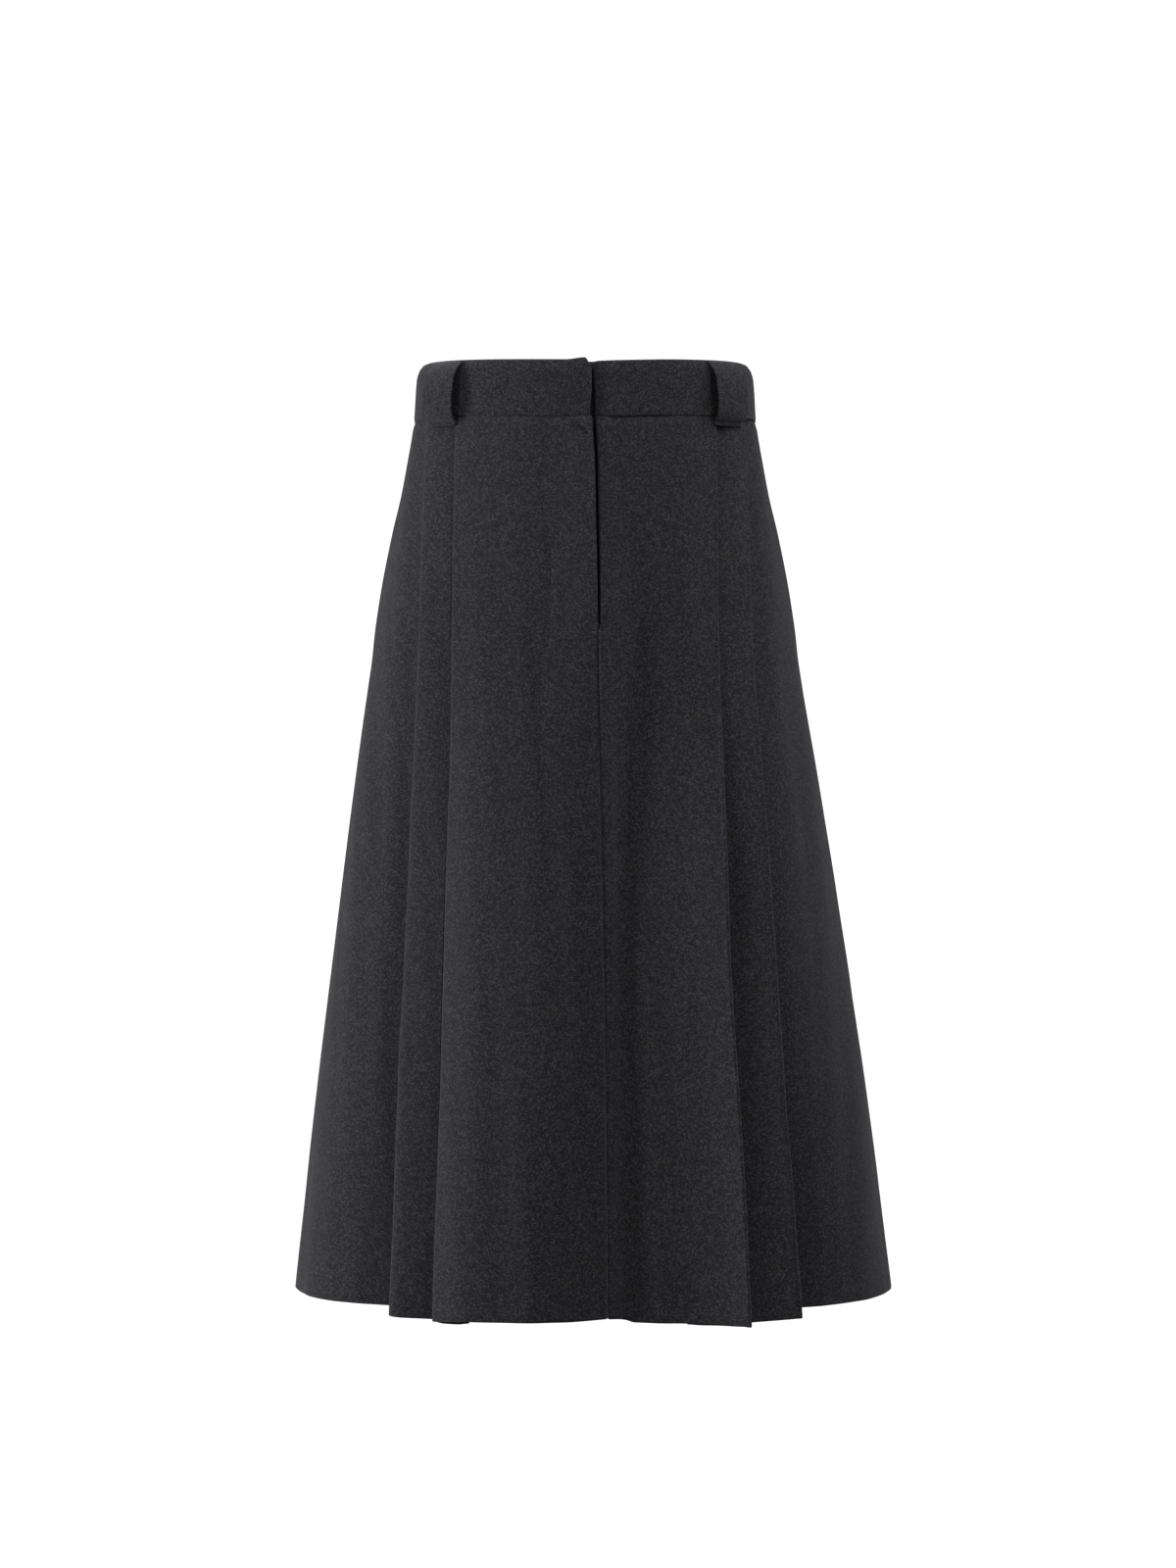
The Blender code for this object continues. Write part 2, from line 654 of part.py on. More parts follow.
# ---------------------------------------------------------------- materials and assembly
def cloth_material(name, colour):
    material = bpy.data.materials.new(name)
    material.use_nodes = True
    shader = material.node_tree.nodes["Principled BSDF"]
    shader.inputs["Base Color"].default_value = (*colour, 1)
    shader.inputs["Roughness"].default_value = WOOL_ROUGHNESS
    shader.inputs["Metallic"].default_value = 0.0
    material.diffuse_color = (*colour, 1)
    return material


def main():
    for old in list(bpy.data.objects):
        bpy.data.objects.remove(old)

    waistband_front_left("waistband_front_left", cloth_material("waistband_front_left", WOOL))
    waistband_front_right("waistband_front_right", cloth_material("waistband_front_right", WOOL))
    waistband_back("waistband_back", cloth_material("waistband_back", WOOL))
    for side, word in ((-1, "left"), (1, "right")):
        front(f"front_{word}", side, cloth_material(f"front_{word}", WOOL))
        back(f"back_{word}", side, cloth_material(f"back_{word}", WOOL))
        bag = f"pocket_bag_{word}"
        pocket_bag(bag, side, cloth_material(bag, POCKETING))
        for place in LOOP_SHARE:
            loop = f"belt_loop_{place}_{word}"
            belt_loop(loop, side, place, cloth_material(loop, BELT_LOOP_WOOL))


main()
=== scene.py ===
"""Looks of the pleated midi skirt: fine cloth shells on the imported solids, their sewing and the studio.

Every piece is laid out on the same garment form as its solid. A place on it is (along, out, drop):
  along  millimetres round the form from the centre front line, positive towards +X
  out    millimetres outwards from the form, square to it
  drop   millimetres below the waistband's top edge
Left and right are those of someone who looks at the front. Meshes are in metres.
"""

import functools
import math
from collections import namedtuple

import bpy
import numpy as np
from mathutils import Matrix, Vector


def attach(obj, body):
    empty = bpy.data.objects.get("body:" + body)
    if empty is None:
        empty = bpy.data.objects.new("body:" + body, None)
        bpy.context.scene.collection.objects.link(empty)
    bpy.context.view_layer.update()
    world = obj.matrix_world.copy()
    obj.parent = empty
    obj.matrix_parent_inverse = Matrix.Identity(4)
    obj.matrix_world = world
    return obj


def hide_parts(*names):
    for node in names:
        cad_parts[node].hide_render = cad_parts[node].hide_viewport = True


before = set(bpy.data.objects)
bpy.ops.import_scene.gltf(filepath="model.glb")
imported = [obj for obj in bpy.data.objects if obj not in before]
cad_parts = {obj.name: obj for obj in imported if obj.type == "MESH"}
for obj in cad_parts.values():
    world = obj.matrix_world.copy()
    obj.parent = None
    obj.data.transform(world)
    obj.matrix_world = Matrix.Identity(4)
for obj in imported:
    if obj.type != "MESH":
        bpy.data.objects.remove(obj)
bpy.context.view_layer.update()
MM = 0.001


def records(kind, *values):
    """Rows of values as named tuples of one kind."""
    return tuple(kind(*row) for row in values)


# ------------ the garment's sizes, in millimetres
LENGTH = 736.0  # waistband's top edge to the hem, at the centre front
BAND_HEIGHT = 44.0
SEAM_GAP = 0.3  # between two pieces that are sewn together
CLOTH = 1.2  # wall of a single layer
BAND_WALL = 2.4  # folded and interfaced double layer
LAYER_GAP = 0.6  # air between the folded layers of a pleat
PITCH = CLOTH + LAYER_GAP  # from one layer of a pleat to the next
UNDER_PLEAT = 2 * PITCH  # how far in the cloth lies where a pleat lies on it
TURN_RADIUS = PITCH / 2  # of a pleat's folded edge, to the middle of the cloth
STITCHED_TO = 200.0  # drop at which the stitched part of the pleats ends
HALFWAY = 393.0  # drop at which the open pleats' middle columns hold
OPENING_POWER = 0.85  # how the back's flares open from STITCHED_TO to the hem
UNEVEN_FROM = 400.0  # drop from which the hem's unevenness is felt
SIDE_SEAM_FORWARD = 9.0  # side seam in front of the widest place
SIDE_HEM_UP = 2.2  # hem at the side seams above the level
WAIST_TUCK = 1.2  # panels start this far in, where they are sewn to the waistband
WAIST_EASE = 8.0  # height over which they come back out
UNDER_FOLD_EASE = 30.0  # width over which the side panel comes out from under the outer pleat
UNDER_FOLD_LOW = 0.7  # hem of the cloth folded under a pleat hangs this far lower

FLY_END = 206.0  # drop at which the fly closes into the centre front seam
FLY_FOOT = 6.0  # height below that over which the right front's edge comes out from under the fly
FLY_TUCK = 6.0  # right front's edge runs this far under the fly
FLY_LIP = 1.9  # width over which the right front comes up out of the gap beside the fly's edge
RIDGE_WIDTH = 38.0  # over which the cloth falls away from the thick fly
BAND_GAP, BAND_GAP_DEPTH, BAND_LIP = 2.8, 5.0, 2.2  # dark gap beside the waistband's left end

BAND_UNDERLAP = 36.0  # right waistband runs this far under the left one
BAND_DIP = 3.4  # and lies this far in
BAND_EASE = 22.0  # width over which it comes back out
LEFT_END_UP, LEFT_END_EASE = 1.6, 16.0  # left end's top edge stands up, the right one sits low
RIGHT_END_DOWN, RIGHT_END_EASE = 0.9, 70.0

POCKET_TOP, POCKET_FOOT = 100.0, 240.0  # drops of a pocket's mouth
POCKET_GAPE, POCKET_STAND = 2.6, 1.2  # front edge of the mouth, away from the seam and out
POCKET_EDGE_EASE = 20.0  # width over which the front comes out to that edge
BAG_WALL = 2.0  # its two layers lie face to face
BAG_BEHIND = 1.0  # air between the bag and the panels
BAG_PAST_SEAM = 5.0  # how far the bag reaches behind the back
BAG_WAVES = 0.5  # share of the cloth's waves that the bag follows

LOOP_WIDTH, LOOP_WALL = 29.0, 1.4
LOOP_SHARE = {"front": 0.815, "back": 0.55}  # of the half width, to the middle of a belt loop

# How far the cloth stands off the form beside the fly, and then beside the centre front seam: the left
# front's edge and the right front's lip. gap is how deep the right front lies under the fly, and width how
# wide the gap beside the fly's edge is.
Ridge = namedtuple("Ridge", "drop left right gap width")
FLY_RIDGE = records(
    Ridge,
    (44, 0.8, -2, 7, 3.2),
    (52, 1.4, -1, 7, 2.6),
    (76, 2.8, 1.4, 6.5, 2),
    (104, 3.4, 2.9, 6, 1.7),
    (160, 3.2, 3.5, 5.5, 1.5),
    (182, 3, 4.1, 5, 1.5),
    (203, 2.6, 4, 4, 1.2),
    (212, 2.6, 3.6, 0, 0),
    (260, 2, 3, 0, 0),
    (340, 0.6, 1, 0, 0),
    (420, 0, 0, 0, 0),
)

# The form's sections: half width, depth to the front and the back, power of the rounded outline (2 is an
# ellipse), how far it leans towards +X, and how much higher its sides are than its middle.
Section = namedtuple("Section", "drop half_width front back square lean lift")
SECTIONS = records(
    Section,
    (0, 131.2, 86, 86, 2.25, 0, 4.4),
    (4, 134, 87.4, 87.6, 2.25, 0, 4.4),
    (10, 135.8, 88.6, 89, 2.25, 0, 4.4),
    (44, 138.2, 91, 92, 2.25, 0, 4.6),
    (82, 144.4, 96.5, 99, 2.25, 0, 4),
    (113, 150.4, 101.5, 107, 2.25, 0, 3.4),
    (175, 163, 112, 120, 2.24, 0, 2.2),
    (238, 172.6, 121, 129, 2.22, 0, 1.2),
    (331, 187.2, 132, 139, 2.18, 1.4, 0.4),
    (458, 205.2, 147.5, 152, 2.13, 3.4, 0),
    (585, 222.4, 163.5, 168, 2.09, 5.2, 0),
    (736, 239.8, 182, 187, 2.05, 6.9, 0),
)
# Where the centre front seam and the two folds of each front lie, in x from the centre.
FrontLine = namedtuple("FrontLine", "drop seam inner outer")
FRONT_LINES = records(
    FrontLine,
    (0, 4.2, 103, 126),
    (44, 5.4, 103.2, 126.6),
    (80, 7.7, 103.5, 127.6),
    (120, 8.5, 103.9, 129),
    (206, 10.1, 104.4, 130.6),
    (330, 11, 107, 136.5),
    (480, 11, 111, 143.5),
    (736, 10.7, 118.8, 156.6),
)
# How much farther out the looks' folds lie than the solids', for the small bends in their run.
FoldShift = namedtuple("FoldShift", "drop inner outer")
FOLD_SHIFTS = {
    -1: records(
        FoldShift,
        (300, 0, 0), (324, 0.2, 0.5), (362, 1.6, 2), (400, 2.9, 2.5), (476, 4.3, 3.1),
        (533, 4.7, 3.9), (590, 4.8, 3.1), (666, 5.2, 1.6), (736, 5.2, 1.4),
    ),
    1: records(
        FoldShift,
        (150, 0, 0), (210, -0.6, -0.5), (286, -1.3, -0.6), (380, -2.3, -0.2), (476, -3.8, 0),
        (570, -2.3, 0.1), (650, -1.5, 1.1), (736, -1.5, 1.4),
    ),
}
# How far a pleat's root lies back from its fold.
PleatDepth = namedtuple("PleatDepth", "waist hem")
INNER_PLEAT = {-1: PleatDepth(20, 28), 1: PleatDepth(20, 36)}
OUTER_PLEAT = {-1: PleatDepth(18, 32), 1: PleatDepth(18, 34)}
# How far a front's layers stand off the form halfway down and at the hem, and how far the hem is up, by the
# share of the layer's width from the centre to the side. -1 is the left front and 1 the right one.
Stand = namedtuple("Stand", "share middle foot up")
CENTRE_LAYER = {
    -1: records(
        Stand,
        (0, -4, -9, 0.6), (0.22, -1.5, -1, -0.6), (0.45, 0.5, 6, -0.7), (0.75, -3, 10, -0.8),
        (1, -7, 15, -4),
    ),
    1: records(
        Stand,
        (0, -4, -10, 0.2), (0.08, -6.5, -13.8, -0.35), (0.16, -9.5, -18.5, -1.9),
        (0.22, -9.5, -17.5, -3.4), (0.3, -7, -12.5, -3.1), (0.4, -4.5, -7, -2.9), (0.6, 1, 0, -2.5),
        (0.75, 7.5, 7, -1.95), (0.88, 16, 17, -1.9), (1, 25, 31, -2.4),
    ),
}
MIDDLE_LAYER = {
    -1: records(Stand, (0, -10, -6, -5), (0.43, -15, -5, -3.5), (0.78, -15, 1, -2.8), (1, -14, 3, -2.2)),
    1: records(Stand, (0, 2.5, -3, -4.1), (0.28, 10, 5, -3.1), (0.5, 16, 16, -1.8), (1, 19, 21, -0.4)),
}
SIDE_LAYER = {
    -1: records(
        Stand,
        (0, -18, -22, -1.2), (0.22, -18, -27, 0.3), (0.42, -12, -13, 1), (0.62, -6, -2, 1.2),
        (0.8, -2, 1, 1.5), (1, 0, 0, SIDE_HEM_UP),
    ),
    1: records(
        Stand,
        (0, 8, -22, -2), (0.22, 7, -27, -1), (0.42, 4, -13, -0.1), (0.62, 2, -3, 0.8),
        (0.8, 1, 1, 1.4), (1, 0, 0, SIDE_HEM_UP),
    ),
}

# How a pleat's folded edge rolls back: over what width, and how deep halfway down and at the hem.
Roll = namedtuple("Roll", "width middle foot")
INNER_ROLL = {-1: Roll(42, 7, 16), 1: Roll(7, 0.2, 0.2)}
OUTER_ROLL = {-1: Roll(10, 1.5, 3), 1: Roll(7, 0.2, 0.2)}
PRESSED_WIDTH, PRESSED_DEPTH = 3.2, {-1: 1.1, 1: -1.1}  # pressed edge of every fold, in or out
PRESSED_TOP, PRESSED_EASE = 0.6, 60.0  # share of that depth in the stitched part, and height to the whole
FOLD_GROOVE, FOLD_GROOVE_WIDTH = {"inner": 2.0, "outer": 0.9}, 0.9  # cloth drawn in close beside a fold

# Soft flares of the back at the hem: where their middles lie and how wide they are, as shares of the panel's
# width from the centre back, and how far out they stand.
Flare = namedtuple("Flare", "middle spread out")
BACK_FLARES = {
    -1: records(Flare, (0, 0.14, -5), (0.27, 0.17, 9), (0.55, 0.14, -6), (0.79, 0.16, 7)),
    1: records(Flare, (0, 0.14, -5), (0.31, 0.18, 8), (0.59, 0.14, -7), (0.81, 0.15, 6)),
}

# How a belt loop runs, from its top sewing to its foot.
Bow = namedtuple("Bow", "out drop")
LOOP_BOW = records(
    Bow,
    (1.1, 0.9), (2.6, 3.4), (5.4, 9), (8.2, 18), (9.3, 30), (8.2, 40.5), (4.2, 46.8), (1.4, 48.4),
    (1.2, 51.5),
)
# How far a pocket bag reaches from the side seam towards the centre.
Bag = namedtuple("Bag", "drop width")
BAG_SHAPE = records(Bag, (62, 46), (84, 72), (130, 92), (190, 102), (245, 98), (280, 80), (296, 52))
PANEL_TOP = BAND_HEIGHT + SEAM_GAP

# How the shells are cut: columns across, and bulge of their edges.
CENTRE_COLUMNS, MIDDLE_COLUMNS, SIDE_COLUMNS = 84, 30, 52  # of a front's three layers
UNDER_FOLD_COLUMNS, TURN_COLUMNS = 10, 7
HIDDEN_COLUMNS, BESIDE_COLUMNS = 6, 8  # of a layer under its fold, and then close beside it
BEFORE_FOLD, PAST_FOLD = 1.0, 4.0  # how far the latter reach
BACK_COLUMNS = 110
BAND_COLUMNS = {"left": 90, "right": 100, "back": 170}
LOOP_COLUMNS, LOOP_ROWS = 26, 60
BAG_COLUMNS, BAG_STEP = 40, 4.0
PANEL_RIM = {"top": 0.3, "end": 0.1, "foot": 0.45, "start": 0.1}
BAND_RIM = {"top": 1.1, "end": 0.1, "foot": 0.2, "start": 0.1}
BAND_END_RIM = {**BAND_RIM, "start": 0.9}
LOOP_RIM = {"top": 0.4, "end": 0.6, "foot": 0.4, "start": 0.6}
BAG_RIM = {"top": 0.5, "end": 0.1, "foot": 0.8, "start": 0.1}
MITRE_LIMIT = 0.3  # a corner is lengthened by at most one over this
CLOTH_MAP = "Cloth"


# ------------ smooth columns
def between(t, width, before, after, rise, fall):
    """Cubic from before to after, with these slopes at its ends, as t goes from 0 to 1 over width."""
    ends = before * (1 + 2 * t) * (1 - t) ** 2 + after * t * t * (3 - 2 * t)
    return ends + rise * width * t * (1 - t) ** 2 - fall * width * t * t * (1 - t)


def smooth(xs, ys, x):
    """Values at x of a smooth curve through the points that never overshoots them, level outside them."""
    xs, ys = np.array(xs, float), np.array(ys, float)
    steps = np.diff(ys) / np.diff(xs)
    product = steps[:-1] * steps[1:]
    total = np.where(product > 0, steps[:-1] + steps[1:], 1.0)
    inner = np.where(product > 0, 2 * product / total, 0.0)
    slopes = np.concatenate([steps[:1], inner, steps[-1:]])
    x = np.clip(x, xs[0], xs[-1])
    i = np.clip(np.searchsorted(xs, x, side="right") - 1, 0, len(xs) - 2)
    width = xs[i + 1] - xs[i]
    return between((x - xs[i]) / width, width, ys[i], ys[i + 1], slopes[i], slopes[i + 1])


def column(table, name, x):
    """Named column of a table at x, where x is in the table's first column."""
    return smooth([row[0] for row in table], [getattr(row, name) for row in table], x)


def ease(x):
    """0 to 1, with level ends, as x goes from 0 to 1."""
    x = np.clip(x, 0.0, 1.0)
    return x * x * (3 - 2 * x)


def bell(x):
    """1 at 0, falling to about nothing by 2 on either side."""
    return np.exp(-x * x)


def graded(start, end, count, ends=0.6):
    """count values from start to end. The nearer ends is to 1, the closer together they are at both ends."""
    t = np.linspace(0, 1, count)
    return start + (end - start) * ((1 - ends) * t + ends * (0.5 - 0.5 * np.cos(np.pi * t)))


def rows(*stretches):
    """Drops from the first stretch's (start,) through the other stretches, each of them (end, step)."""
    (start,), values = stretches[0], []
    for end, step in stretches[1:]:
        count = max(int(round((end - start) / step)), 1)
        values.append(np.linspace(start, end, count, endpoint=False))
        start = end
    return np.concatenate([*values, [start]])


# ------------ the form's outline at one drop
class Outline:
    """The form's rounded outline at one drop, measured by its length from the centre front."""

    STEPS = 240  # straight pieces in each quarter

    def __init__(self, drop):
        self.drop = drop
        sizes = (float(column(SECTIONS, name, drop)) for name in Section._fields[1:])
        self.section = Section(drop, *sizes)
        i = np.arange(2 * self.STEPS + 1)
        angle = math.pi / 2 * (i / self.STEPS - 1)
        power = 2 / self.section.square
        self.x = self.section.half_width * np.abs(np.cos(angle)) ** power
        reach = np.where(i < self.STEPS, -self.section.front, self.section.back)
        self.y = reach * np.abs(np.sin(angle)) ** power
        self.x[[0, -1]] = 0.0
        self.lengths = np.concatenate([[0.0], np.cumsum(np.hypot(np.diff(self.x), np.diff(self.y)))])
        self.seam = self.lengths[self.STEPS] - SIDE_SEAM_FORWARD
        self.back = self.lengths[-1]

    def normal(self, x, y):
        """Outward direction of the outline at its points (x, y)."""
        reach = np.where(y < 0, self.section.front, self.section.back)
        power = self.section.square - 1
        nx = (np.abs(x) / self.section.half_width) ** power / self.section.half_width
        ny = np.copysign((np.abs(y) / reach) ** power / reach, y)
        size = np.hypot(nx, ny)
        return nx / size, ny / size

    def plan(self, along, out):
        """x and y of places in plan, before the form's lean."""
        past_back = np.abs(along) > self.back
        length = np.where(past_back, 2 * self.back - np.abs(along), np.abs(along))
        x, y = np.interp(length, self.lengths, self.x), np.interp(length, self.lengths, self.y)
        nx, ny = self.normal(x, y)
        return np.copysign(1.0, np.where(past_back, -along, along)) * (x + nx * out), y + ny * out

    def place(self, along, out, up=0.0):
        """Points in the model's frame, in metres."""
        x, y = self.plan(along, out)
        lift = self.section.lift * (x / self.section.half_width) ** 2
        z = BAND_HEIGHT / 2 - self.drop + lift + up
        return np.stack([x + self.section.lean, y, z], axis=-1) * MM

    def along_at(self, x, out=0.0, on_back=False):
        """Length along the right half to the place, standing out, that lies at x."""
        nx, _ = self.normal(self.x, self.y)
        reached = self.x + nx * out
        if on_back:
            return np.interp(-x, -reached[self.STEPS :], self.lengths[self.STEPS :])
        return np.interp(x, reached[: self.STEPS + 1], self.lengths[: self.STEPS + 1])

    def front_line(self, name, out=0.0):
        """Length from the centre front to one of the lines that run down the front."""
        return self.along_at(column(FRONT_LINES, name, self.drop), out)


@functools.lru_cache(maxsize=None)
def outline_at(drop):
    """The form's outline at a drop, worked out once."""
    return Outline(drop)


def grown(drop, start, power):
    """0 down to the drop start, and from there growing to 1 at the hem."""
    return (max(drop - start, 0.0) / (LENGTH - start)) ** power


def hang_at(drop):
    """How much of the hem's unevenness is felt at this drop."""
    return grown(drop, UNEVEN_FROM, 2)


def opened(drop, middle, foot):
    """Values that grow from 0 where the stitching ends, through middle, to foot at the hem."""
    if drop <= STITCHED_TO:
        return 0.0 * (middle + foot)
    upper, lower = HALFWAY - STITCHED_TO, LENGTH - HALFWAY
    first, second = middle / upper, (foot - middle) / lower
    alike = first * second > 0
    bend = np.where(alike, 2 * first * second / np.where(alike, first + second, 1.0), 0.0)
    if drop < HALFWAY:
        return between((drop - STITCHED_TO) / upper, upper, 0.0, middle, first, bend)
    return between((drop - HALFWAY) / lower, lower, middle, foot, bend, second)


def waist_tuck(drop):
    """How far in a panel lies near the seam that joins it to the waistband."""
    return WAIST_TUCK * (1 - ease((drop - BAND_HEIGHT) / WAIST_EASE))


def mouth_at(drop):
    """How far a pocket's mouth gapes: 0 at its ends and outside them, 1 along its middle."""
    share = (drop - POCKET_TOP) / (POCKET_FOOT - POCKET_TOP)
    return ease(4 * share) * ease(4 * (1 - share))


# ------------ relief, from sewing and wear
# A crease is a soft trough, or a ridge where its depth is negative, from one place on the form to another.
Crease = namedtuple("Crease", "along drop to_along to_drop width depth")
CREASE_END = 0.35  # share of a crease's depth that is left at its ends

FRONT_CREASES = {
    -1: records(
        Crease,
        (-7, 50, 4.5, 60, 2.2, 2),  # pucker at the fly's top
        (-2, 45, 3, 50, 2.4, -0.8),
        (-14, 56, -2, 76, 4, -0.7),
        (-22.2, 46, -21.4, 184, 0.5, 0.30),  # fly's line of stitching
        (-19.8, 46, -19, 184, 0.5, 0.20),
        (-28, 60, -26.5, 190, 5, 0.45),
        (-27, 150, -28, 226, 3.6, 0.95),
        (-30, 196, -36, 300, 8, 0.8),
        (-132, 196, -124, 210, 2.6, 0.5),  # drag at the end of the outer pleat's stitching
        (-136, 206, -150, 232, 6, 0.35),
        (-60, 250, -52, 560, 16, 0.7),
        (-190, 300, -206, 520, 14, 0.8),
    ),
    1: records(
        Crease,
        (132, 200, 125, 212, 2.6, 0.5),
        (136, 208, 150, 236, 6, 0.35),
        (34, 60, 36, 330, 16, 1.3),  # hollow beside the fly
        (40, 150, 42, 420, 16, 3.6),
        (48, 260, 44, 600, 18, 0.7),
        (192, 320, 210, 560, 14, 0.8),
    ),
}


def crease_depth(creases, along, drop):
    """How far in the creases lie at these places."""
    total = np.zeros(np.broadcast(along, drop).shape)
    for crease in creases:
        run = np.array([crease.to_along - crease.along, crease.to_drop - crease.drop], float)
        length = math.hypot(*run)
        run /= length
        ahead = (along - crease.along) * run[0] + (drop - crease.drop) * run[1]
        aside = (along - crease.along) * run[1] - (drop - crease.drop) * run[0]
        share = np.clip(ahead / length, 0, 1)
        past = (ahead - share * length) / (2 * crease.width)
        along_it = CREASE_END + (1 - CREASE_END) * np.sin(np.pi * share)
        total += crease.depth * bell(aside / crease.width) * bell(past) * along_it
    return total


# Long soft waves of hanging cloth: size, wave lengths along and down, phase, and how far they slant.
Wave = namedtuple("Wave", "size along drop phase slant")
WAVES = records(
    Wave,
    (0.42, 71, 430, 0.4, -0.10),
    (0.30, 43, 260, 2.1, -0.16),
    (0.18, 27, 190, 4, -0.20),
    (0.16, 160, 88, 1.1, 0),
    (0.08, 19, 57, 5.2, -0.42),
)
WAVES_TOP, WAVES_FROM, WAVES_EASE = 0.35, 60.0, 300.0  # share at the top, and how they grow from there
RELIEF_EASE = 18.0  # width over which they die out towards a seam
WAIST_PUCKER, WAIST_PUCKER_HEIGHT = 0.16, 9.0  # little gathers below the waistband's seam
HEM_LINE, HEM_DENT, HEM_DENT_WIDTH = 38.0, 0.10, 1.5  # stitching above the hem, which draws the cloth in
SEAM_ROLL, SEAM_ROLL_WIDTH = 1.8, 1.05  # how far, and over what width, cloth rolls in at a seam
SEAM_ROLL_EASE = 12.0  # height below the waistband over which that begins


def waves(along, drop):
    """Long soft waves of the hanging cloth, which grow down from the waistband."""
    total = 0.0
    for wave in WAVES:
        turn = 2 * math.pi * ((along + wave.slant * drop) / wave.along + drop / wave.drop)
        total = total + wave.size * np.sin(turn + wave.phase)
    return total * (WAVES_TOP + (1 - WAVES_TOP) * ease((drop - WAVES_FROM) / WAVES_EASE))


def gathers(along):
    """Uneven little waves along a gathered seam, up to 1 out or in."""
    return np.sin(along / 1.25 + 1.7 * np.sin(along / 9.0)) * (0.55 + 0.45 * np.sin(along / 17.0))


def relief(creases, along, drop, from_seam):
    """How far out the cloth stands from its plain shape. from_seam is the distance to the nearest seam."""
    out = waves(along, drop) * ease(from_seam / RELIEF_EASE)
    out = out - crease_depth(creases, along, drop)
    out = out + WAIST_PUCKER * gathers(along) * (1 - ease((drop - BAND_HEIGHT) / WAIST_PUCKER_HEIGHT))
    out = out - HEM_DENT * bell((drop - LENGTH + HEM_LINE) / HEM_DENT_WIDTH)
    rolled = SEAM_ROLL * ease((drop - BAND_HEIGHT) / SEAM_ROLL_EASE)
    return out - rolled * bell(from_seam / SEAM_ROLL_WIDTH)


# ------------ thin shells
def offset(along, out, distance):
    """The plane path moved sideways, mitred at its corners."""
    da, do = np.diff(along), np.diff(out)
    size = np.hypot(da, do)
    na, no = -do / size, da / size
    na = (np.concatenate([na[:1], na]) + np.concatenate([na, na[-1:]])) / 2
    no = (np.concatenate([no[:1], no]) + np.concatenate([no, no[-1:]])) / 2
    stretch = distance / np.maximum(na * na + no * no, MITRE_LIMIT)
    return along + na * stretch, out + no * stretch


class Grid:
    """Rows of outer and inner points, with the flat cloth's coordinates, across and down."""

    def __init__(self):
        self.outer, self.inner, self.flat = [], [], []

    def add(self, outer, inner, across, down):
        self.outer.append(outer)
        self.inner.append(inner)
        self.flat.append(np.stack([across, np.full_like(across, down)], axis=-1))

    def arrays(self):
        return np.array(self.outer), np.array(self.inner), np.array(self.flat) * MM


def add_object(name, data):
    """New object in the scene."""
    item = bpy.data.objects.new(name, data)
    bpy.context.scene.collection.objects.link(item)
    return item


def grid_faces(height, width, first):
    """Quads of a grid of points whose first index is given."""
    i = np.arange(height - 1)[:, None] * width + np.arange(width - 1)[None, :] + first
    return np.stack([i, i + 1, i + width + 1, i + width], axis=-1).reshape(-1, 4)


def shell(name, grid, rim, material):
    """Closed thin shell between a grid's two sides. rim is how far each of its edges bulges."""
    outer, inner, flat = grid.arrays()
    height, width = outer.shape[:2]
    count = height * width
    numbers = np.arange(count).reshape(height, width)
    sides = {
        "top": (numbers[0], outer[0] - outer[1]),
        "end": (numbers[:, -1], outer[:, -1] - outer[:, -2]),
        "foot": (numbers[-1, ::-1], (outer[-1] - outer[-2])[::-1]),
        "start": (numbers[::-1, 0], (outer[:, 0] - outer[:, 1])[::-1]),
    }
    edge, pushed = [], []
    for word, (places, directions) in sides.items():
        lengths = np.linalg.norm(directions, axis=1, keepdims=True)
        edge.append(places[:-1])
        pushed.append((directions / np.maximum(lengths, 1e-9) * rim[word] * MM)[:-1])
    edge = np.concatenate(edge)
    outer, inner, flat = outer.reshape(-1, 3), inner.reshape(-1, 3), flat.reshape(-1, 2)
    points = np.concatenate([outer, inner, (outer[edge] + inner[edge]) / 2 + np.concatenate(pushed)])
    cloth = np.concatenate([flat, flat, flat[edge]])
    bulge = 2 * count + np.arange(len(edge))
    next_edge, next_bulge = np.roll(edge, -1), np.roll(bulge, -1)
    faces = np.concatenate([
        grid_faces(height, width, 0),
        grid_faces(height, width, count)[:, ::-1],
        np.stack([next_edge, edge, bulge, next_bulge], axis=-1),
        np.stack([next_bulge, bulge, count + edge, count + next_edge], axis=-1),
    ])
    a, b, c, d = (points[faces[:, k]] for k in range(4))
    volume = (np.cross(a, b) * c).sum() + (np.cross(a, c) * d).sum()
    if volume < 0:  # the faces look inwards
        faces = faces[:, ::-1]
    data = bpy.data.meshes.new(name)
    data.vertices.add(len(points))
    data.vertices.foreach_set("co", points.ravel())
    data.loops.add(faces.size)
    data.loops.foreach_set("vertex_index", faces.ravel())
    data.polygons.add(len(faces))
    data.polygons.foreach_set("loop_start", np.arange(0, faces.size, 4))
    data.polygons.foreach_set("loop_total", np.full(len(faces), 4))
    data.update(calc_edges=True)
    data.uv_layers.new(name=CLOTH_MAP).data.foreach_set("uv", cloth[faces.ravel()].ravel())
    data.materials.append(material)
    data.shade_smooth()
    data.validate()
    return add_object(name, data)


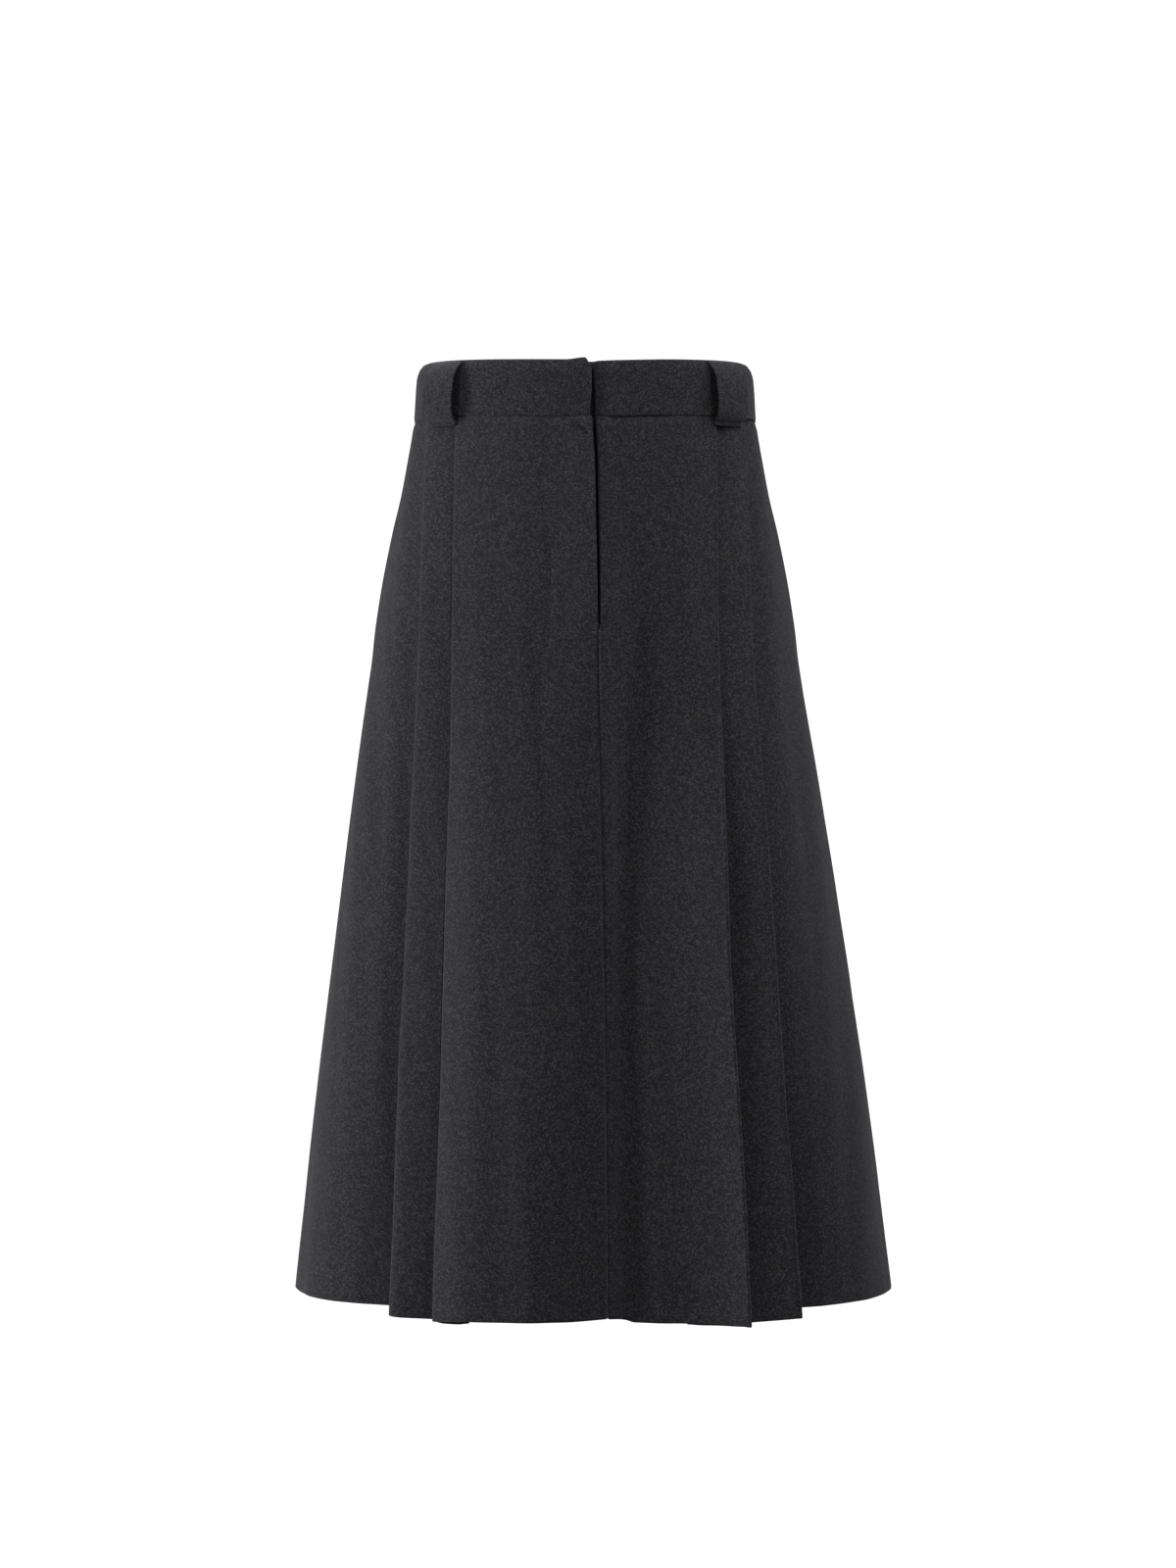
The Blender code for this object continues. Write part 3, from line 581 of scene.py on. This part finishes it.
def wall(name, drops, path_at, thickness, rim, material, side=1):
    """Shell and its grid. path_at(outline) gives its outer face's along, out and up, mirrored by side."""
    grid = Grid()
    for drop in drops:
        outline = outline_at(float(drop))
        along, out, up = path_at(outline)
        outer = offset(along, out - thickness / 2, thickness / 2)
        inner = offset(along, out - thickness / 2, -thickness / 2)
        across = np.concatenate([[0.0], np.cumsum(np.hypot(np.diff(along), np.diff(out)))])
        grid.add(
            outline.place(side * outer[0], outer[1], up),
            outline.place(side * inner[0], inner[1], up),
            across + along[0],
            drop,
        )
    return shell(name, grid, rim, material), grid


# ------------ fronts
class FrontLayers:
    """The three layers of one front at one drop, by lengths from the centre front towards the side.

    start and edge are the panel's centre and side edges, lap is the fly's edge, and inner and outer are the
    folds. A pleat's root is where its underfold ends and the next layer begins.
    """

    SLOPE_STEP = 0.5  # over which a layer's slope at its fold is measured

    def __init__(self, outline, side):
        self.drop = outline.drop
        self.side = side
        self.hang = hang_at(self.drop)
        self.inner = outline.front_line("inner", self.edge_stand(CENTRE_LAYER, INNER_ROLL))
        self.outer = outline.front_line("outer", self.edge_stand(MIDDLE_LAYER, OUTER_ROLL))
        self.inner += float(column(FOLD_SHIFTS[side], "inner", self.drop))
        self.outer += float(column(FOLD_SHIFTS[side], "outer", self.drop))
        down = (self.drop - BAND_HEIGHT) / (LENGTH - BAND_HEIGHT)
        inner_depth, outer_depth = INNER_PLEAT[side], OUTER_PLEAT[side]
        self.inner_root = self.inner - inner_depth.waist - (inner_depth.hem - inner_depth.waist) * down
        self.outer_root = self.outer - outer_depth.waist - (outer_depth.hem - outer_depth.waist) * down
        self.edge = outline.seam - SEAM_GAP / 2
        self.lap = outline.front_line("seam")
        self.start = self.centre_edge()

    def centre_edge(self):
        """Where the centre edge lies: the left one ends the fly, the right one is tucked under it."""
        if self.side < 0:
            return -self.lap + SEAM_GAP / 2
        tucked = min(max((FLY_END + FLY_FOOT - self.drop) / FLY_FOOT, 0.0), 1.0)
        return self.lap - FLY_TUCK * tucked + SEAM_GAP / 2

    def edge_stand(self, layers, rolls):
        """How far a layer's folded edge stands off the form."""
        layer, roll = layers[self.side][-1], rolls[self.side]
        return float(opened(self.drop, layer.middle - roll.middle, layer.foot - roll.foot))

    def stand(self, table, share):
        """Out and up of a layer at this drop, by its table. Near the waist seam it lies a little in."""
        out = opened(self.drop, column(table, "middle", share), column(table, "foot", share))
        return out - waist_tuck(self.drop), column(table, "up", share) * self.hang

    def rolled_back(self, roll, along, edge):
        """How far in the cloth lies near a folded edge, where it rolls back and is pressed."""
        near = np.clip(1 - (edge - along) / roll.width, 0, 1)
        pressed = np.clip(1 - (edge - along) / PRESSED_WIDTH, 0, 1)
        opened_out = ease((self.drop - STITCHED_TO) / PRESSED_EASE)
        lip = PRESSED_DEPTH[self.side] * (PRESSED_TOP + (1 - PRESSED_TOP) * opened_out)
        return opened(self.drop, roll.middle, roll.foot) * near * near + lip * pressed * pressed

    def sunk_under_inner(self, along):
        """How far in the cloth lies where it comes out from under the inner pleat."""
        return UNDER_PLEAT * (1 - ease((along - self.inner) / (self.outer - self.inner)))

    @staticmethod
    def groove(name, along, fold):
        """How far in the cloth is drawn close beside the fold that lies on it."""
        return FOLD_GROOVE[name] * bell((along - fold - FOLD_GROOVE_WIDTH) / FOLD_GROOVE_WIDTH)

    def centre_layer(self, along):
        out, up = self.stand(CENTRE_LAYER[self.side], (along - self.start) / (self.inner - self.start))
        out = out + self.beside_fly(along)
        return out - self.rolled_back(INNER_ROLL[self.side], along, self.inner), up

    def beside_fly(self, along):
        """How far the cloth stands off the form beside the fly, and lies in under it."""
        if self.side < 0:
            away = np.clip((along - self.start) / RIDGE_WIDTH, 0, 1)
            return float(column(FLY_RIDGE, "left", self.drop)) * (1 - away) ** 2
        lip = self.lap + float(column(FLY_RIDGE, "width", self.drop))
        away = np.clip((along - lip) / RIDGE_WIDTH, 0, 1)
        ridge = float(column(FLY_RIDGE, "right", self.drop)) * (1 - away) ** 2
        gap = float(column(FLY_RIDGE, "gap", self.drop))
        if gap == 0:
            return ridge
        risen = ease((along - lip) / FLY_LIP)
        return ridge * risen - gap * (1 - risen)

    def middle_layer(self, along):
        share = (along - self.inner_root) / (self.outer - self.inner_root)
        out, up = self.stand(MIDDLE_LAYER[self.side], share)
        out = out - self.groove("inner", along, self.inner) - self.sunk_under_inner(along)
        return out - self.rolled_back(OUTER_ROLL[self.side], along, self.outer), up

    def side_layer(self, along):
        share = (along - self.outer_root) / (self.edge - self.outer_root)
        out, up = self.stand(SIDE_LAYER[self.side], share)
        sunk = UNDER_PLEAT * (1 - ease((along - self.outer) / UNDER_FOLD_EASE))
        sunk = sunk + self.groove("outer", along, self.outer)
        return out - sunk - self.sunk_under_inner(along), up

    def fold(self, layer, next_layer, edge, root):
        """Path round a pleat's folded edge, back under it, and round its root to the next layer."""
        edge -= TURN_RADIUS
        root += TURN_RADIUS
        (top, top_up), (foot, foot_up) = layer(edge), next_layer(root)
        fall = math.atan(float(layer(edge - self.SLOPE_STEP)[0] - top) / self.SLOPE_STEP)
        start = edge - PITCH * math.sin(fall)
        behind = top - PITCH * math.cos(fall) - layer(start)[0]
        share = graded(0, 1, UNDER_FOLD_COLUMNS, 0.5)
        along = start + (root - start) * share
        out = (layer(along)[0] + behind) * (1 - share) + (next_layer(along)[0] + PITCH) * share
        low = UNDER_FOLD_LOW * self.hang * ease(4 * share) * ease(4 - 4 * share)
        under = along, out, top_up + (foot_up - top_up) * share - low
        return turn(edge, top, top_up, 1, fall), under, turn(root, foot + PITCH, foot_up, -1)

    def path(self):
        """The whole front from the centre, through both pleats, to the side seam."""
        mouth = mouth_at(self.drop)
        edge = self.edge - POCKET_GAPE * mouth
        centre = graded(self.start, self.inner - TURN_RADIUS, CENTRE_COLUMNS)
        fold_start = self.outer - TURN_RADIUS
        middle = past_fold(self.inner_root + TURN_RADIUS, self.inner, fold_start, MIDDLE_COLUMNS)
        rest = past_fold(self.outer_root + TURN_RADIUS, self.outer, edge, SIDE_COLUMNS)
        rest_out, rest_up = self.side_layer(rest)
        rest_out = rest_out + POCKET_STAND * mouth * ease((rest - edge) / POCKET_EDGE_EASE + 1)
        parts = [
            (centre, *self.centre_layer(centre)),
            *self.fold(self.centre_layer, self.middle_layer, self.inner, self.inner_root),
            (middle, *self.middle_layer(middle)),
            *self.fold(self.middle_layer, self.side_layer, self.outer, self.outer_root),
            (rest, rest_out, rest_up),
        ]
        parts = [np.broadcast_arrays(*part) for part in parts]
        along, out, up = (np.concatenate(values) for values in zip(*parts))
        from_seam = edge - along
        if self.drop > FLY_END + FLY_FOOT:
            from_seam = np.minimum(from_seam, along - self.start)
        out = out + relief(FRONT_CREASES[self.side], self.side * along, self.drop, from_seam)
        return along, out, up


def past_fold(start, fold, end, count):
    """count values from start to end, closest together beside the fold that hides the first of them."""
    before, past = fold - BEFORE_FOLD, fold + PAST_FOLD
    hidden = np.linspace(start, before, HIDDEN_COLUMNS, endpoint=False)
    beside = np.linspace(before, past, BESIDE_COLUMNS, endpoint=False)
    return np.concatenate([hidden, beside, graded(past, end, count - HIDDEN_COLUMNS - BESIDE_COLUMNS)])


def turn(along, out, up, towards, fall=0.0):
    """Round turn from a layer, which falls away by the angle fall, to the next one in, without its ends."""
    angle = np.linspace(0, math.pi, TURN_COLUMNS + 2)[1:-1] + fall
    across = TURN_RADIUS * (np.sin(angle) - math.sin(fall))
    back = TURN_RADIUS * (math.cos(fall) - np.cos(angle))
    return along + towards * across, out - back, np.full(TURN_COLUMNS, float(up))


PANEL_DROPS = rows((PANEL_TOP,), (62, 1.6), (196, 4.2), (226, 2.2), (728, 4.4), (LENGTH, 1.6))
BAND_DROPS = rows((0,), (10, 1.0), (38, 2.8), (BAND_HEIGHT, 1.2))


def front(name, side, material):
    """Front with its two knife pleats, from the fly and the centre front seam to the side seam."""

    def path_at(outline):
        return FrontLayers(outline, side).path()

    return wall(name, PANEL_DROPS, path_at, CLOTH, PANEL_RIM, material, side)


# ------------ backs
# Darts and creases of the back panels, by the distance from the centre back.
BACK_CREASES = records(
    Crease,
    (74, 44, 70, 150, 1.1, 0.8),  # dart
    (30, 210, 44, 420, 12, 0.8),
    (120, 180, 140, 330, 11, 0.8),
    (96, 300, 104, 560, 16, 0.9),
    (150, 420, 178, 620, 14, 0.7),
)


def back(name, side, material):
    """Plain back panel from the side seam to the centre back, with soft flares at the hem."""

    def path_at(outline):
        start, end = outline.seam + SEAM_GAP / 2, outline.back - SEAM_GAP / 2
        along = graded(start, end, BACK_COLUMNS)
        share = (outline.back - along) / (outline.back - outline.seam)
        out = np.full_like(along, -waist_tuck(outline.drop))
        for flare in BACK_FLARES[side]:
            stand = flare.out * grown(outline.drop, STITCHED_TO, OPENING_POWER)
            out += stand * (1 - ease(np.abs(share - flare.middle) / flare.spread))
        up = SIDE_HEM_UP * ease(4 * share - 3) * hang_at(outline.drop)
        from_seam = np.minimum(along - start, end - along)
        out += relief(BACK_CREASES, outline.back - along, outline.drop, from_seam)
        return along, out, up

    return wall(name, PANEL_DROPS, path_at, CLOTH, PANEL_RIM, material, side)


# ------------ waistband
# How far the left end of the waistband reaches past the centre front line.
EndEdge = namedtuple("EndEdge", "drop past")
LEFT_END_EDGE = records(
    EndEdge,
    (0, -3.4), (1.5, -2.8), (4, -1.4), (9, -0.1), (21, -0.3), (31, -1.2), (38, -2.4), (44, -1.8),
)
BAND_WAVE, BAND_SHORT, BAND_LONG = 0.25, 9.0, 23.0  # its small waves: size, and two runs
BAND_WAVE_EASE = 10.0  # width over which they die out at its ends
BAND_ROLL, BAND_ROLL_WIDTH = 0.5, 1.6  # how far, and over what width, it rolls in at its seams


def band_roll(from_seam):
    """How far in the waistband lies near one of its seams."""
    return BAND_ROLL * bell(from_seam / BAND_ROLL_WIDTH)


def band_relief(along, drop, from_end):
    """How far out the waistband stands from its plain shape."""
    out = BAND_WAVE * np.sin(along / BAND_SHORT + 0.05 * drop) * np.sin(along / BAND_LONG + 1.0)
    out = out * ease(from_end / BAND_WAVE_EASE) * np.sin(np.pi * np.clip(drop / BAND_HEIGHT, 0, 1))
    return out - band_roll(BAND_HEIGHT - drop)


def waistband_front_left(name, material):
    """Left end of the waistband, which laps over the right one at the fly."""

    def path_at(outline):
        past = float(column(LEFT_END_EDGE, "past", outline.drop))
        start, end = -outline.front_line("seam") + SEAM_GAP / 2 - past, outline.seam - SEAM_GAP / 2
        along = graded(start, end, BAND_COLUMNS["left"])
        lapped = 1 - ease((along - start) / LEFT_END_EASE)
        up = LEFT_END_UP * lapped * (1 - outline.drop / BAND_HEIGHT)
        out = band_relief(along, outline.drop, np.minimum(along - start, end - along))
        return along, out - band_roll(end - along), up

    return wall(name, BAND_DROPS, path_at, BAND_WALL, BAND_END_RIM, material, side=-1)


def waistband_front_right(name, material):
    """Right end of the waistband, which runs on under the left one."""

    def path_at(outline):
        lap, end = outline.front_line("seam"), outline.seam - SEAM_GAP / 2
        along = graded(lap - BAND_UNDERLAP, end, BAND_COLUMNS["right"])
        under = 1 - ease((along - lap) / BAND_EASE)
        gap = 1 - ease((along - lap - BAND_GAP) / BAND_LIP)
        low = 1 - ease((along - lap) / RIGHT_END_EASE)
        down = RIGHT_END_DOWN * low * (1 - outline.drop / BAND_HEIGHT)
        out = band_relief(along, outline.drop, end - along) - BAND_DIP * under - BAND_GAP_DEPTH * gap
        return along, out - band_roll(end - along), -down

    return wall(name, BAND_DROPS, path_at, BAND_WALL, BAND_END_RIM, material)


def waistband_back(name, material):
    """Back of the waistband, from one side seam round to the other."""

    def path_at(outline):
        start = outline.seam + SEAM_GAP / 2
        end = 2 * outline.back - start
        along = graded(start, end, BAND_COLUMNS["back"])
        from_end = np.minimum(along - start, end - along)
        out = band_relief(along, outline.drop, from_end) - band_roll(from_end)
        return along, out, np.zeros_like(along)

    return wall(name, BAND_DROPS, path_at, BAND_WALL, BAND_RIM, material)


# ------------ belt loops and pockets
def belt_loop(name, side, place, material):
    """Strap that is sewn on at the waistband's top edge, bows away from it and is sewn below its seam."""
    bow = np.array(LOOP_BOW)
    run = np.concatenate([[0.0], np.cumsum(np.hypot(*np.diff(bow, axis=0).T))])
    fine = np.linspace(0, run[-1], LOOP_ROWS)
    outs, drops = smooth(run, bow[:, 0], fine), smooth(run, bow[:, 1], fine)
    faces = [offset(outs, drops, distance) for distance in (-LOOP_WALL / 2, LOOP_WALL / 2)]
    across = graded(-LOOP_WIDTH / 2, LOOP_WIDTH / 2, LOOP_COLUMNS)
    grid = Grid()
    for i, down in enumerate(fine):
        points = []
        for moved_out, moved_drop in faces:
            outline = outline_at(float(moved_drop[i]))
            x = LOOP_SHARE[place] * outline.section.half_width
            middle = outline.along_at(x, on_back=place == "back")
            points.append(outline.place(side * (middle + across), moved_out[i]))
        grid.add(*points, across, down)
    return shell(name, grid, LOOP_RIM, material), grid


def pocket_bag(name, side, material):
    """Flat bag that hangs behind a pocket's mouth, close behind the front and clear of its pleats."""

    def path_at(outline):
        layers = FrontLayers(outline, side)
        width = float(column(BAG_SHAPE, "width", outline.drop))
        along = np.linspace(outline.seam - width, outline.seam + BAG_PAST_SEAM, BAG_COLUMNS)
        out, _ = layers.side_layer(np.maximum(along, layers.outer_root))
        out = out + waves(side * along, outline.drop) * BAG_WAVES - CLOTH - BAG_BEHIND
        return along, out, np.zeros_like(along)

    drops = rows((BAG_SHAPE[0].drop,), (BAG_SHAPE[-1].drop, BAG_STEP))
    return wall(name, drops, path_at, BAG_WALL, BAG_RIM, material, side)


# ------------ materials
WOOL_SHADE, POCKETING_SHADE = 0.47, 0.38
FIBRES = ((0.16, (0.0125, 0.0125, 0.0145)), (0.50, (0.032, 0.032, 0.037)), (0.86, (0.095, 0.094, 0.105)))
FIBRE_SIZE, FLECK_SIZE, FLECK_SHARE = 1.0, 0.95, 0.7  # sizes in millimetres, here and below
YARN_SIZE, YARN_SQUEEZE = 1.1, 0.22  # the latter makes them long
MOTTLE_SIZE = 15.0
NAP_SIZE, LUMP_SIZE, NAP_HEIGHT = 0.8, 3.0, 0.22
NUMBER_A, NUMBER_B, COLOUR_A, COLOUR_B, COLOUR_OUT = 2, 3, 6, 7, 2  # sockets of a Mix node


def new_material(name):
    """New material with its nodes and links."""
    material = bpy.data.materials.new(name)
    material.use_nodes = True
    return material, material.node_tree.nodes, material.node_tree.links


def set_inputs(node, values):
    """Gives a node's inputs their values."""
    for name, value in values.items():
        node.inputs[name].default_value = value


def wool_material(name, shade):
    """Charcoal melange flannel: dark and pale fibres mixed, a faint twill under a short soft nap."""
    material, nodes, links = new_material(name)
    shader = nodes["Principled BSDF"]
    set_inputs(shader, {"Roughness": 0.92, "Specular IOR Level": 0.18})
    set_inputs(shader, {"Sheen Weight": 0.22, "Sheen Roughness": 0.55, "Sheen Tint": (0.80, 0.80, 0.88, 1)})
    cloth = nodes.new("ShaderNodeUVMap")
    cloth.uv_map = CLOTH_MAP
    scaled = nodes.new("ShaderNodeVectorMath")
    scaled.operation = "SCALE"
    scaled.inputs["Scale"].default_value = 1 / MM
    links.new(cloth.outputs["UV"], scaled.inputs[0])

    def noise(size, detail, roughness, squeeze=(1, 1, 1)):
        """Noise over the flat cloth whose blobs are about size mm across."""
        mapping = nodes.new("ShaderNodeMapping")
        mapping.inputs["Scale"].default_value = [s / size for s in squeeze]
        links.new(scaled.outputs[0], mapping.inputs["Vector"])
        texture = nodes.new("ShaderNodeTexNoise")
        set_inputs(texture, {"Scale": 1.0, "Detail": detail, "Roughness": roughness})
        links.new(mapping.outputs["Vector"], texture.inputs["Vector"])
        return texture.outputs["Fac"]

    def flecks(size):
        """A random value for each of the flecks, about size mm across."""
        texture = nodes.new("ShaderNodeTexVoronoi")
        texture.voronoi_dimensions = "2D"
        texture.inputs["Scale"].default_value = 1 / size
        links.new(scaled.outputs[0], texture.inputs["Vector"])
        parts = nodes.new("ShaderNodeSeparateColor")
        links.new(texture.outputs["Color"], parts.inputs[0])
        return parts.outputs[0]

    def ramp(value, stops):
        """Colours of a value, from stops of (place, colour)."""
        node = nodes.new("ShaderNodeValToRGB")
        elements = node.color_ramp.elements
        while len(elements) < len(stops):
            elements.new(0.5)
        for element, (place, colour) in zip(elements, stops):
            element.position = place
            element.color = (*colour, 1)
        links.new(value, node.inputs["Fac"])
        return node.outputs["Color"]

    def tinted(a, b):
        """One colour times another."""
        node = nodes.new("ShaderNodeMix")
        node.data_type = "RGBA"
        node.blend_type = "MULTIPLY"
        node.inputs["Factor"].default_value = 1.0
        links.new(a, node.inputs[COLOUR_A])
        links.new(b, node.inputs[COLOUR_B])
        return node.outputs[COLOUR_OUT]

    blend = nodes.new("ShaderNodeMix")
    blend.inputs["Factor"].default_value = FLECK_SHARE
    links.new(noise(FIBRE_SIZE, 3.0, 0.7), blend.inputs[NUMBER_A])
    links.new(flecks(FLECK_SIZE), blend.inputs[NUMBER_B])
    colour = ramp(blend.outputs[0], [(place, np.array(tone) * shade) for place, tone in FIBRES])
    warp = noise(YARN_SIZE, 2.0, 0.6, (1, YARN_SQUEEZE, 1))
    weft = noise(YARN_SIZE, 2.0, 0.6, (YARN_SQUEEZE, 1, 1))
    mottle = noise(MOTTLE_SIZE, 3.0, 0.6)
    colour = tinted(colour, ramp(warp, ((0.30, (0.76,) * 3), (0.70, (1.24,) * 3))))
    colour = tinted(colour, ramp(weft, ((0.30, (0.80,) * 3), (0.70, (1.20,) * 3))))
    colour = tinted(colour, ramp(mottle, ((0.32, (0.94, 0.93, 1.04)), (0.68, (1.06, 1.07, 0.97)))))
    links.new(colour, shader.inputs["Base Color"])

    height = nodes.new("ShaderNodeMath")
    height.operation = "ADD"
    links.new(noise(NAP_SIZE, 3.0, 0.7), height.inputs[0])
    links.new(noise(LUMP_SIZE, 2.0, 0.6), height.inputs[1])
    bump = nodes.new("ShaderNodeBump")
    set_inputs(bump, {"Strength": 0.55, "Distance": NAP_HEIGHT * MM})
    links.new(height.outputs[0], bump.inputs["Height"])
    links.new(bump.outputs["Normal"], shader.inputs["Normal"])
    return material


# ------------ assembly
def dress(built, node):
    """Puts a piece in its node's place: attaches it to the root and hides the node's solid."""
    piece, grid = built
    _, _, flat = grid.arrays()
    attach(piece, "root")
    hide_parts(node)


def build_skirt():
    """Every piece of the skirt, each standing in for its own node's solid."""
    wool = wool_material("wool cloth", WOOL_SHADE)
    pocketing = wool_material("pocketing", POCKETING_SHADE)
    bands = {"front_left": waistband_front_left, "front_right": waistband_front_right, "back": waistband_back}
    for word, band in bands.items():
        dress(band(f"cloth_waistband_{word}", wool), f"waistband_{word}")
    for side, word in ((-1, "left"), (1, "right")):
        dress(front(f"cloth_front_{word}", side, wool), f"front_{word}")
        dress(back(f"cloth_back_{word}", side, wool), f"back_{word}")
        dress(pocket_bag(f"cloth_pocket_bag_{word}", side, pocketing), f"pocket_bag_{word}")
        for place in LOOP_SHARE:
            node = f"belt_loop_{place}_{word}"
            dress(belt_loop("cloth_" + node, side, place, wool), node)


# ------------ studio
CAMERA_DISTANCE, CAMERA_ACROSS, CAMERA_HEIGHT = 2640.0, 2.4, -309.5
LENS, SENSOR = 75.0, 36.0
FLOOR_HEIGHT, FLOOR_REACH, FLOOR_GLOW = -1.25, 9.0, 0.92  # metres, here and below
BACKDROP_FOOT, BACKDROP_REACH, BACKDROP_GLOW = FLOOR_HEIGHT - 0.2, 9.5, 1.0
BACKDROP_SIDES, BACKDROP_RINGS = 48, 12
BACKDROP_TOP = 0.999  # share of the way to the top, which keeps a pinhole
AMBIENT = 0.15


def glowing_material(name, glow):
    """Matt near-white, which also glows a little."""
    material, nodes, _ = new_material(name)
    shader = nodes["Principled BSDF"]
    set_inputs(shader, {"Base Color": (0.86, 0.86, 0.86, 1), "Roughness": 0.9})
    set_inputs(shader, {"Emission Color": (1, 1, 1, 1), "Emission Strength": glow})
    return material


def stage_piece(name, points, faces, material):
    """Piece of the studio, which only the camera sees."""
    data = bpy.data.meshes.new(name)
    data.from_pydata(points, [], faces)
    data.shade_smooth()
    data.materials.append(material)
    piece = add_object(name, data)
    piece.visible_diffuse = piece.visible_glossy = piece.visible_shadow = False


def ring(reach, height):
    """Points of a level ring round the middle."""
    angles = (2 * math.pi * i / BACKDROP_SIDES for i in range(BACKDROP_SIDES))
    return [(reach * math.cos(angle), reach * math.sin(angle), height) for angle in angles]


def studio_room():
    """Pale round floor and the white backdrop all round and over it. Neither lights the skirt."""
    rim, disc = ring(FLOOR_REACH, FLOOR_HEIGHT), [tuple(range(BACKDROP_SIDES))]
    stage_piece("studio_floor", rim, disc, glowing_material("studio floor", FLOOR_GLOW))
    points, faces = [], []
    for step in range(BACKDROP_RINGS + 1):
        level = math.pi / 2 * step / BACKDROP_RINGS * BACKDROP_TOP
        points += ring(BACKDROP_REACH * math.cos(level), BACKDROP_FOOT + BACKDROP_REACH * math.sin(level))
    for i in range(BACKDROP_SIDES * BACKDROP_RINGS):
        beside = i + 1 if (i + 1) % BACKDROP_SIDES else i + 1 - BACKDROP_SIDES
        faces.append((i, beside, beside + BACKDROP_SIDES, i + BACKDROP_SIDES))
    stage_piece("studio_backdrop", points, faces, glowing_material("studio backdrop", BACKDROP_GLOW))


# Soft boxes round the skirt: degrees round from the front, degrees up, and power in watts.
SoftBox = namedtuple("SoftBox", "name round up power")
SOFT_BOXES = records(
    SoftBox,
    ("left side light", -80, 5, 50),
    ("left front light", -40, 40, 13),
    ("right front light", 40, 40, 16.5),
    ("right side light", 80, 40, 20),
    ("back light", 180, 20, 26),
)
BOX_DISTANCE, BOX_SIZE = 2.4, (0.6, 1.6)
AIM = Vector((0.0, 0.0, -0.36))


def soft_box(name, around, up, power):
    """Rectangular light that faces the middle of the skirt. The camera doesn't see it."""
    around, up = math.radians(around), math.radians(up)
    way = Vector((math.sin(around) * math.cos(up), -math.cos(around) * math.cos(up), math.sin(up)))
    data = bpy.data.lights.new(name, "AREA")
    data.shape = "RECTANGLE"
    data.size, data.size_y = BOX_SIZE
    data.energy = power
    light = add_object(name, data)
    light.location = AIM + way * BOX_DISTANCE
    light.rotation_euler = (-way).to_track_quat("-Z", "Y").to_euler()
    light.visible_camera = False


def build_studio():
    """The room, its lights and the camera, which stands square before the front as in the photograph."""
    studio_room()
    for box in SOFT_BOXES:
        soft_box(*box)
    scene = bpy.context.scene
    scene.view_settings.view_transform = "Standard"
    world = bpy.data.worlds.new("studio")
    world.use_nodes = True
    set_inputs(world.node_tree.nodes["Background"], {"Color": (1, 1, 1, 1), "Strength": AMBIENT})
    scene.world = world
    camera = add_object("camera", bpy.data.cameras.new("camera"))
    camera.data.lens, camera.data.sensor_width = LENS, SENSOR
    camera.location = (CAMERA_ACROSS * MM, -CAMERA_DISTANCE * MM, CAMERA_HEIGHT * MM)
    camera.rotation_euler = (math.pi / 2, 0, 0)
    scene.camera = camera


build_skirt()
build_studio()
